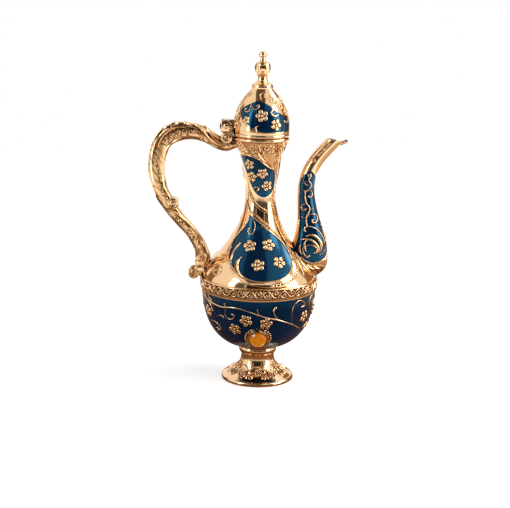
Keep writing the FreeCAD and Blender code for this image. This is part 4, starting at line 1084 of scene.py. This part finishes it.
# %% Girdle band
GIRDLE_REPEATS = 22
GIRDLE_STEP = 360 / GIRDLE_REPEATS
GIRDLE_LINES = (
    ([(0, 83.7), (0.16, 84.5), (0.33, 87.6), (0.5, 89), (0.67, 87.6), (0.84, 84.5), (1, 83.7)], 0.75, 1.1),
    ([(-0.22, 86.6), (-0.13, 88.7), (0.06, 89), (0.14, 87.4), (0.03, 86.1), (-0.06, 87.2)], 0.62, 1.0),
    ([(0.28, 86.1), (0.37, 84), (0.56, 83.7), (0.64, 85.3), (0.53, 86.6), (0.44, 85.5)], 0.62, 1.0),
    ([(0.12, 86.4), (0.2, 87.6), (0.3, 89.2)], 0.55, 0.9),
    ([(0.72, 83.6), (0.8, 85.2), (0.86, 86.6)], 0.55, 0.9),
)
GIRDLE_BEADS = ((-0.03, 87.5), (0.47, 85.2))
GIRDLE_BEAD_RADIUS = 1.0
EDGE_HEIGHTS = (82.4, 90.4)
EDGE_STEP = 3
EDGE_WIDTH = 0.7
EDGE_RISE = 0.6

band = []
for i in range(GIRDLE_REPEATS):
    place = turned_ground(POT_SKIN, i * GIRDLE_STEP)
    for points, half_width, height in GIRDLE_LINES:
        band.append(drawn(place, [(share * GIRDLE_STEP, z) for share, z in points], half_width, height))
    for share, z in GIRDLE_BEADS:
        band.append(set_whole(bead_model, place, (share * GIRDLE_STEP, z), GIRDLE_BEAD_RADIUS))
for height in EDGE_HEIGHTS:
    spots = [POT_SIDES[0](angle, height) for angle in range(0, 360 + EDGE_STEP, EDGE_STEP)]
    band.append(raised_line(spots, POT_SKIN, EDGE_WIDTH, EDGE_RISE, WIRE, full, closed=True))
gather("girdle_ornament", band, "pot")

# %% [markdown]
# ## Bowl
# A thin vine crosses the bowl's enamel from the upper left to the lower right, with leaves and curls on
# both sides of it. It comes twice round the bowl, and a row of beads goes round each stone's collet.
# The beads lie on an oval, and the bowl's radius at each height turns its width into an angle.

# %% Bowl vine
BOWL_LINES = (
    ([(-84, 79.5), (-71, 76.5), (-58, 74.3), (-48.3, 73), (-38.3, 72.4), (-28.5, 73.5), (-18.6, 73.4),
      (-9.3, 71.4), (0.7, 68.5), (11, 65.8), (19.7, 64), (31, 60.5), (44, 55.5), (56, 50)],
     0.6, 0.6, WIRE, even),
    ([(-71.3, 79.9), (-66.6, 76.1), (-59.6, 73.6), (-55.2, 70.9), (-53.8, 66.6)],
     0.75, 0.7, WIRE, growing),
    ([(-59.6, 80.2), (-58.3, 77.4), (-53.2, 74.9)], 0.6, 0.6, WIRE, tailed),
    ([(-35.6, 76.7), (-35.3, 74.5), (-33, 72.9)], 0.7, 0.6, WIRE, tailed),
    ([(-33.1, 72.4), (-35.4, 68.7), (-35.1, 65.1), (-30.6, 63), (-26, 64.2), (-25.2, 67.1), (-28, 67.6)],
     0.7, 0.65, WIRE, growing),
    ([(-48.2, 62.1), (-43, 64.4), (-38.4, 64.2), (-37.8, 62.3)], 0.65, 0.6, WIRE, growing),
    ([(-1.4, 74), (-0.8, 71.8), (0.7, 68.5)], 0.6, 0.6, WIRE, tailed),
    ([(16.9, 74.8), (15, 72), (16.6, 67.9), (20.8, 64.2)], 1.0, 0.8, WIRE, tailed),
    ([(37.1, 59), (36.4, 63.7), (35.6, 69.7), (37.7, 75.7), (44.3, 78.5), (50.7, 76), (51.4, 72.6),
      (46.6, 72.1)], 0.75, 0.7, WIRE, growing),
    ([(69.6, 60), (66, 66), (62, 71.4), (62.4, 77), (71, 79.4), (77, 74.6), (72.4, 70.4), (68.6, 73)],
     0.65, 0.6, WIRE, growing),
    ([(-70, 52), (-60, 56.5), (-50, 56), (-46, 52), (-50, 49.5), (-54, 51.5)], 0.65, 0.6, WIRE, growing),
    ([(60, 50), (68, 54), (78, 54.5), (83, 51), (79, 48.5), (75, 50.5)], 0.65, 0.6, WIRE, growing),
)
BOWL_FLOWERS = (
    ((-12.6, 63.1), 0.5), ((8, 61), 1.0), ((-63, 64.5), 0.1), ((55, 62.5), 0.8), ((-26, 54), 0.4),
    ((82, 64), 1.2),
)
BOWL_KNOBS = (((16.9, 74.8), 1.3), ((-53.8, 66.6), 1.1))
print("vine lines on each side:", len(BOWL_LINES))

# %% Beads round the stones
STONE_HEIGHT = 47.0
STONE_REACH = (10.2, 9.0)
STONE_BEADS = 26
STONE_BEAD_RADIUS = 1.05


def round_the_stone(place, share):
    """The place of one bead on the oval round a stone's collet."""
    turn = 2 * math.pi * share
    height = STONE_HEIGHT + STONE_REACH[1] * math.sin(turn)
    spot, _ = place(0, height)
    around_pot = Vector((spot.x, spot.y)).length / MM
    return math.degrees(math.asin(STONE_REACH[0] * math.cos(turn) / around_pot)), height


bowl = []
for place in POT_SIDES:
    oval = [round_the_stone(place, i / STONE_BEADS) for i in range(STONE_BEADS)]
    bowl += [set_whole(bead_model, place, spot, STONE_BEAD_RADIUS) for spot in oval]
    bowl += [drawn(place, *line) for line in BOWL_LINES]
    bowl += [set_down(flower_model, place, spot, FLOWER_RADIUS, turn) for spot, turn in BOWL_FLOWERS]
    bowl += [set_whole(bead_model, place, *knob) for knob in BOWL_KNOBS]
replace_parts(gather("bowl_vine", bowl, "pot"), "bowl_relief_front", "bowl_relief_back")

# %% [markdown]
# ## Foot
# The flare of the foot has eight scallops like the petals of an open flower. Each holds a blossom
# between two curls, and a short rib stands in the valley between two scallops. One scallop is drawn and
# goes round eight times.

# %% Foot scallops
SCALLOPS = 8
SCALLOP_LINES = (
    ([(-22, 5), (-21, 9), (-12, 12.4), (0, 13.6), (12, 12.4), (21, 9), (22, 5)], 0.7, 0.6, RIB, even),
    ([(-22.5, 8), (-22.5, 13), (-22.5, 18)], 0.5, 0.5, RIB, pointed),
)
FOOT_FLOWER = ((0, 8.6), 4.0, 0.3)
FOOT_CURL = ((7, 7.4), 2.6, 120)
FOOT_CURL_SIZE = (0.6, 0.8)
FOOT_TURN = 2.0

scallops = []
for i in range(SCALLOPS):
    place = turned_ground(POT_SKIN, i * 360 / SCALLOPS)
    scallops += [drawn(place, *line) for line in SCALLOP_LINES]
    scallops.append(set_down(flower_model, place, *FOOT_FLOWER))
    for side in (-1, 1):
        curl = [(side * across * FOOT_TURN, height) for across, height in snail(*FOOT_CURL)]
        scallops.append(drawn(place, curl, *FOOT_CURL_SIZE))
gather("foot_ornament", scallops, "pot")

# %% [markdown]
# ## Lid
# The dome's panel has hooks that curl into the blue, three flowers and a small crescent at its lower
# edge, and a curl stands over its top. The bare metal beside it is strewn with tiny embossed blossoms.
# A full round bead sits where the dome meets the finial, and is turned from a profile as on a lathe. A
# squared leaf under the lid's knuckle closes the slit beside the hinge.

# %% Lid lines
LID_LINES = (
    ([(-31.4, 241.4), (-31.4, 238), (-30.3, 234.5), (-33.6, 232), (-40.7, 232.2), (-44.1, 233.7),
      (-39.9, 234.5)], 0.6, 0.6, WIRE, growing),
    ([(-31.4, 241.4), (-28.8, 237.8), (-24.1, 234.9), (-16, 234), (-9, 235.4), (-7.7, 237.1),
      (-12.2, 237.3), (-14.2, 236)], 0.6, 0.6, WIRE, growing),
    ([(40.3, 230.2), (30.7, 228.9), (24, 229.9), (22.2, 232), (26.8, 233.9), (33.8, 233.8)],
     0.7, 0.6, WIRE, even),
    ([(80.9, 227.8), (76.4, 225.4), (64.9, 223.3), (55.6, 223.9), (54.2, 225.2)],
     0.9, 0.65, WIRE, growing),
    ([(-4.1, 221.8), (-10.5, 220.6), (-12.3, 218.5), (-9.6, 216.2), (-4.4, 215.1)],
     0.9, 0.6, LEAF, pointed),
    ([(-1.8, 241.8), (-7.7, 244.2), (-6.3, 246.1), (2.5, 246.8), (10.4, 245.7), (6.5, 243.2)],
     0.5, 0.45, WIRE, even),
    ([(-70, 236), (-62, 232.5), (-54, 229.2), (-44.8, 225), (-32.1, 220.8), (-18.8, 217.6),
      (-4.4, 214.9)], 0.6, 0.5, RIB, pointed),
)
LID_FLOWERS = (((0, 229.3), 5.4, 0.3), ((30.3, 222), 5.0, 0.8), ((-34, 225.4), 3.4, 0.4))
LID_BLOSSOMS = (
    (43.3, 239.6), (62, 240.4), (80.8, 234.6), (-72, 242.7), (-78, 238.7), (-58.8, 245.4), (-66, 226.9),
    (-54, 221.6), (-70, 219.7), (31, 242.4), (55.4, 236.3), (70, 231.5), (-88, 232), (-84, 225),
)
LID_BLOSSOM = (3.2, 0.2, 1.2)
HINGE_LEAF = ((-24.6, -22.8), (-2.6, 2.6), (210.6, 215.6), 0.5)
print("lid lines on each side:", len(LID_LINES))

# %% Lid
TOP_PROFILE = (
    (8.2, 248.4), (8.75, 249.4), (9.0, 250.9), (8.8, 252.3), (8.1, 253.4), (6.8, 254.0), (5.5, 254.6),
    (4.6, 255.6), (4.1, 256.8), (3.9, 258.2),
)
TOP_STEPS = 48


def lathe(profile, steps):
    """A turned skin from a row of radii and heights in mm."""
    bpy.ops.mesh.primitive_grid_add(x_subdivisions=steps, y_subdivisions=len(profile) - 1, size=1)
    turned = bpy.context.object
    for vertex in turned.data.vertices:
        turn = 2 * math.pi * (vertex.co.x + 0.5)
        radius, height = profile[round((vertex.co.y + 0.5) * (len(profile) - 1))]
        vertex.co = Vector((radius * math.cos(turn), radius * math.sin(turn), height)) * MM
    return turned


lid = [lathe(TOP_PROFILE, TOP_STEPS), block(*HINGE_LEAF)]
for place in LID_SIDES:
    lid += [drawn(place, *line) for line in LID_LINES]
    lid += [set_down(flower_model, place, spot, radius, turn) for spot, radius, turn in LID_FLOWERS]
    lid += [set_down(flower_model, place, spot, *LID_BLOSSOM) for spot in LID_BLOSSOMS]
gather("lid_ornament", lid, "lid")

# %% [markdown]
# ## Spout
# A climbing vine fills the spout's long panel: curls above, and a fan of feathers in its wide foot. Two
# long leaves and a chain of small curls are embossed on the bare metal over the panel, leaves spread
# over the root below it, and the tip of the lip is rolled into a small volute.

# %% Spout vine
SPOUT_LINES = (
    ([(40.2, 177.5), (39.4, 179), (40.7, 179.9), (41.9, 178.5), (40.9, 176.2), (39.5, 174.7)],
     0.57, 0.66, WIRE, even),
    ([(39.5, 174.7), (41.2, 173), (42.4, 170.6), (41.4, 168), (39.3, 166.2), (37.5, 163.9), (37.5, 159.7),
      (38.7, 155.4), (41.1, 152.2), (41.4, 149.4), (40.6, 146.9), (39, 143.9), (38.8, 140.2),
      (39.5, 136.9), (41.2, 135.6)], 0.57, 0.66, WIRE, even),
    ([(39.7, 174), (37.6, 173.4), (37.1, 171.7), (38.4, 170.5), (39.3, 171.5)],
     0.57, 0.66, WIRE, growing),
    ([(38.8, 165.7), (41.6, 166.1), (43.4, 163.6), (42.5, 160.6), (40.4, 160.7), (40.4, 162.4)],
     0.69, 0.66, WIRE, growing),
    ([(37.7, 163.9), (36.6, 165.9), (34.9, 166.8)], 0.57, 0.6, WIRE, tailed),
    ([(39.6, 154.1), (36.5, 154.6), (34.4, 152.3), (35.8, 149.7), (38.2, 149.9), (37.4, 151.2)],
     0.69, 0.66, WIRE, growing),
    ([(41.5, 149.6), (43.2, 150.3), (44.2, 151.4)], 0.63, 0.6, WIRE, growing),
    ([(39.4, 143.5), (37.2, 143), (34.9, 144)], 0.63, 0.6, WIRE, growing),
    ([(38.8, 139.3), (39.4, 143.5), (42.9, 146.2), (46.6, 145.4), (48.2, 142.4), (46.8, 139.2),
      (44.1, 139.3), (44.1, 141.3)], 0.8, 0.72, WIRE, growing),
    ([(38.7, 131.3), (37.4, 133), (38.4, 135.1), (42.3, 135.9), (47.1, 133.8), (51.5, 129.3), (54, 124.2),
      (54.7, 120.5)], 0.86, 0.72, WIRE, tailed),
    ([(37.9, 127.1), (43.3, 129), (48.3, 126.7), (51.8, 121.7), (51.7, 117.2), (50.1, 113.1)],
     1.25, 0.95, WIRE, pointed),
    ([(34.1, 124.2), (40, 125.4), (45, 123.6), (48.9, 119.5), (49.9, 116.1), (49.3, 113.2)],
     1.1, 0.9, WIRE, pointed),
    ([(35.4, 121.3), (33.9, 117.7), (34.3, 114.5), (36.2, 112)], 0.85, 0.75, WIRE, pointed),
    ([(38, 117.5), (41.4, 120.4), (45.5, 119.9), (48.6, 117), (48.2, 114.1), (46.4, 113.5)],
     1.1, 0.9, WIRE, growing),
    ([(37.3, 119.4), (36.5, 116), (37.8, 112.3), (40.6, 109.9), (42, 111.2)], 0.86, 0.72, WIRE, growing),
    ([(41.2, 125.8), (38, 122.3), (38.1, 118.2), (39.5, 114.1)], 0.85, 0.75, WIRE, pointed),
    ([(37.8, 185.9), (41.7, 191.8), (46.1, 197.3), (50.9, 202.8), (55.6, 207.8)],
     1.3, 0.9, LEAF, pointed),
    ([(43.7, 192.8), (48.5, 196.3), (52.5, 200.9), (56.5, 204.7), (61.1, 207.5)], 0.8, 0.6, RIB, pointed),
    ([(31.8, 112.2), (37.1, 107.8), (43, 105.2), (50.5, 105.9), (57.5, 109.3)], 0.75, 0.8, WIRE, even),
    ([(36.2, 107), (38.3, 103.4), (41.6, 100.4)], 1.0, 0.7, LEAF, pointed),
    ([(40.2, 105), (43.3, 102), (47.2, 99.6)], 1.2, 0.8, LEAF, pointed),
    ([(45.3, 104), (48.3, 101.4), (52, 99.8)], 1.2, 0.8, LEAF, pointed),
    ([(50.4, 104.6), (52.8, 102.6), (55.2, 101.8)], 1.0, 0.7, LEAF, pointed),
    ([(54.4, 106.6), (55.8, 105), (57.2, 104.4)], 0.8, 0.6, LEAF, pointed),
)
SPOUT_CURLS = (
    ((43.6, 191.2), 1.6, 220), ((47.2, 196), 1.6, 40), ((51.2, 200.6), 1.6, 220), ((55, 204.6), 1.5, 40),
)
LIP_ROLL = ((70.4, 206.9), 1.7, -2.1, 2.1)
SPOUT_CURL_SIZE = (0.45, 0.7)
SPOUT_DOTS = ((51.2, 112.2), (52.9, 112.8), (54.6, 114.2), (55.2, 115.3))
SPOUT_DOT_RADIUS = 0.55
SPOUT_TIPS = ((44.1, 141.3), (46.4, 113.5), (42, 111.2))
SPOUT_TIP_RADIUS = 0.95
print("spout lines on each side:", len(SPOUT_LINES))

# %% Spout
vine = [volute(*LIP_ROLL)]
for place in SPOUT_SIDES:
    vine += [drawn(place, *line) for line in SPOUT_LINES]
    vine += [drawn(place, snail(*curl), *SPOUT_CURL_SIZE) for curl in SPOUT_CURLS]
    vine += [set_whole(bead_model, place, spot, SPOUT_DOT_RADIUS) for spot in SPOUT_DOTS]
    vine += [set_whole(bead_model, place, spot, SPOUT_TIP_RADIUS) for spot in SPOUT_TIPS]
gather("spout_vine", vine, "pot")

# %% [markdown]
# ## Handle
# The handle is carved on both sides: a leaf along its outer edge, ribs that follow the arch, a chain of
# snail curls between the ribs, and beads in the sunk fields. Its scrolls end in volutes, round eyes
# that stand out on both sides, and its foot rolls up into one. Squared cheeks hold the hinge's pin, and
# a bar closes the slit beside the mouth.

# %% Handle carving
HANDLE_LINES = (
    ([(-89.6, 198), (-89, 203), (-87.2, 207.7), (-83.7, 212.6), (-78.3, 217.1), (-71, 219.5),
      (-63.2, 220.1), (-56.9, 217.8)], 2.0, 1.3, RIB, pointed),
    ([(-86.2, 196.9), (-85, 202), (-82.5, 207.5), (-78, 212.4), (-71.9, 216), (-64.7, 216.7),
      (-58.5, 215)], 0.84, 0.9, RIB, pointed),
    ([(-57.2, 219.9), (-50.8, 216.6), (-46.3, 211.5), (-40.7, 205.5), (-35.1, 202.6), (-29, 201.9)],
     1.7, 1.4, RIB, pointed),
    ([(-49.8, 218.3), (-45.3, 215.7), (-41.9, 211), (-37.4, 206.7), (-32.4, 204.5)],
     0.84, 1, RIB, pointed),
    ([(-57.5, 217.5), (-51.9, 213.5), (-47.4, 207.4), (-41.8, 203.1), (-35.1, 200), (-28.4, 199.3),
      (-22.9, 202)], 0.84, 1, RIB, pointed),
    ([(-65.2, 215.2), (-61.8, 214.7), (-58.5, 214.2), (-56.3, 212.3)], 0.7, 0.75, WIRE, growing),
    ([(-45.2, 204.9), (-50.7, 207.6), (-57.4, 208.7), (-64.1, 208.6), (-69.6, 206.7), (-74.7, 203.2),
      (-78.3, 199.2), (-80.5, 193), (-81.5, 185.1), (-81.5, 177.1), (-80.2, 169.1), (-78, 161.9)],
     0.77, 0.9, RIB, even),
    ([(-91.4, 194.5), (-92, 188.1), (-92, 182.5), (-91.4, 176.9), (-89.9, 171.4), (-87.5, 168)],
     0.84, 0.9, RIB, pointed),
    ([(-88.2, 160.1), (-84.8, 154), (-79.1, 147.4), (-74, 141.2), (-67.8, 133.8), (-62.2, 126.9),
      (-57.6, 119.9), (-54.7, 114.2), (-53.6, 108.8), (-54.1, 101.7)], 0.84, 0.98, RIB, even),
    ([(-72.9, 146.5), (-67.2, 141.4), (-62.7, 137.4), (-57.1, 131.6), (-53.1, 126.5), (-48.5, 120.6),
      (-45.1, 114.2), (-42.8, 107.9)], 0.84, 0.98, RIB, even),
    ([(-79.1, 148.6), (-75.1, 147), (-69.5, 143.1), (-65, 138)], 1.1, 0.9, LEAF, pointed),
    ([(-61.6, 135.7), (-57.6, 130.6), (-53.6, 124.9), (-50.7, 116.8)], 0.98, 0.83, LEAF, pointed),
    ([(-55.9, 128.9), (-51.9, 123.2), (-49, 116.3), (-47.3, 109.3), (-47.2, 102.3), (-50, 99.3)],
     0.84, 0.83, RIB, pointed),
    ([(-54.1, 113.7), (-52.4, 119.1), (-53, 124.3)], 0.7, 0.75, WIRE, pointed),
)
print("handle lines on each side:", len(HANDLE_LINES))

# %% Handle curls, volutes and hinge
SNAIL_CURLS = (((-54.6, 213.2), 1.8, 0), ((-86.4, 186), 2.5, 80), ((-56, 93.2), 4.2, 60))
SNAIL_WIDTH = 0.2
SNAIL_RISE = 0.27
HANDLE_CHAIN = (
    ((-61, 212.2), 1.9, 200), ((-66.6, 211.8), 2.0, 30), ((-72.2, 209.6), 2.1, 230),
    ((-77, 205.6), 2.1, 60), ((-85.4, 179), 2.0, 100), ((-84.8, 172.6), 2.0, 290),
    ((-82.6, 166), 2.1, 120), ((-79.6, 160), 2.0, 310), ((-70.4, 141.2), 1.9, 130),
    ((-65.2, 135.2), 1.9, 320), ((-60.4, 129.2), 1.9, 140), ((-56, 122.8), 2.0, 330),
    ((-51.6, 112.6), 2.2, 150), ((-49.4, 105.4), 2.3, 340),
)
CHAIN_SIZE = (0.45, 0.8)
HANDLE_BEADS = (
    ((-72.4, 211.2), 0.84), ((-68.5, 213.6), 0.84), ((-79.6, 207.8), 0.84), ((-80.1, 203.2), 0.84),
    ((-77.6, 205), 0.84), ((-71.8, 208.7), 0.84), ((-75.1, 208.9), 0.98), ((-65, 211.5), 0.84),
    ((-81.9, 160.6), 1.4), ((-78.5, 156.7), 1.26), ((-67.8, 138), 1.96), ((-58.7, 127.7), 1.4),
    ((-50.4, 104.8), 2.24),
)
SCROLL_FOOT = ((-50.8, 95.0), 4.7, -5.4, 5.4)
HINGE_CHEEKS = [((-33.8, -26.2), depth, (213.4, 223.6), 1.3) for depth in ((-6.3, -3.2), (3.2, 6.3))]
HINGE_BAR = ((-25.6, -22.9), (-2.6, 2.6), (203.0, 210.2), 0.5)
VOLUTES = (
    ((-29.0, 209.0), 5.0, 30, ((-6.0, -3.2), (3.2, 6.0))),
    ((-73.4, 152.8), 4.7, 200, ((-6.1, 6.1),)),
)
EYE_CURL = 0.8
EYE_WIDTH = 0.19
EYE_RISE = 0.25
EYE_BEAD = 0.24


def eye(boss, side, middle, radius, start):
    """The curl on one face of a volute, and the bead in its middle."""
    place = side_ground(BVHTree.FromObject(boss, bpy.context.evaluated_depsgraph_get()), side)
    curl = drawn(place, snail(middle, EYE_CURL * radius, start), EYE_WIDTH * radius, EYE_RISE * radius)
    return [curl, set_whole(bead_model, place, middle, EYE_BEAD * radius)]


carving = [volute(*SCROLL_FOOT), block(*HINGE_BAR)] + [block(*cheek) for cheek in HINGE_CHEEKS]
for middle, radius, start, widths in VOLUTES:
    bosses = [volute(middle, radius, near, far) for near, far in widths]
    carving += bosses
    for side, boss in ((-1, bosses[0]), (1, bosses[-1])):
        carving += eye(boss, side, middle, radius, start)
print("volutes and hinge pieces:", len(carving))

# %% Handle
HATCH_STEPS = 8
HATCH_START = Vector((-84, 202.1))
HATCH_END = Vector((-80.2, 199.9))
HATCH_START_WALK = Vector((-3.7, -11.3))
HATCH_END_WALK = Vector((-3, -10.8))
HATCH_SIZE = (0.3, 0.4)

for place in HANDLE_SIDES:
    carving += [drawn(place, *line) for line in HANDLE_LINES]
    for curl in SNAIL_CURLS:
        carving.append(drawn(place, snail(*curl), SNAIL_WIDTH * curl[1], SNAIL_RISE * curl[1]))
    carving += [drawn(place, snail(*curl), *CHAIN_SIZE) for curl in HANDLE_CHAIN]
    carving += [set_whole(bead_model, place, *bead) for bead in HANDLE_BEADS]
    for i in range(HATCH_STEPS):
        share = i / (HATCH_STEPS - 1)
        stroke = [HATCH_START + HATCH_START_WALK * share, HATCH_END + HATCH_END_WALK * share]
        carving.append(drawn(place, stroke, *HATCH_SIZE))
gather("handle_carving", carving, "pot")

# %% [markdown]
# ## Clearing away the models
# The models that the copies came from go.

# %% Clearing away the models
for model in (bead_model, ring_model, flower_model):
    bpy.data.objects.remove(model)
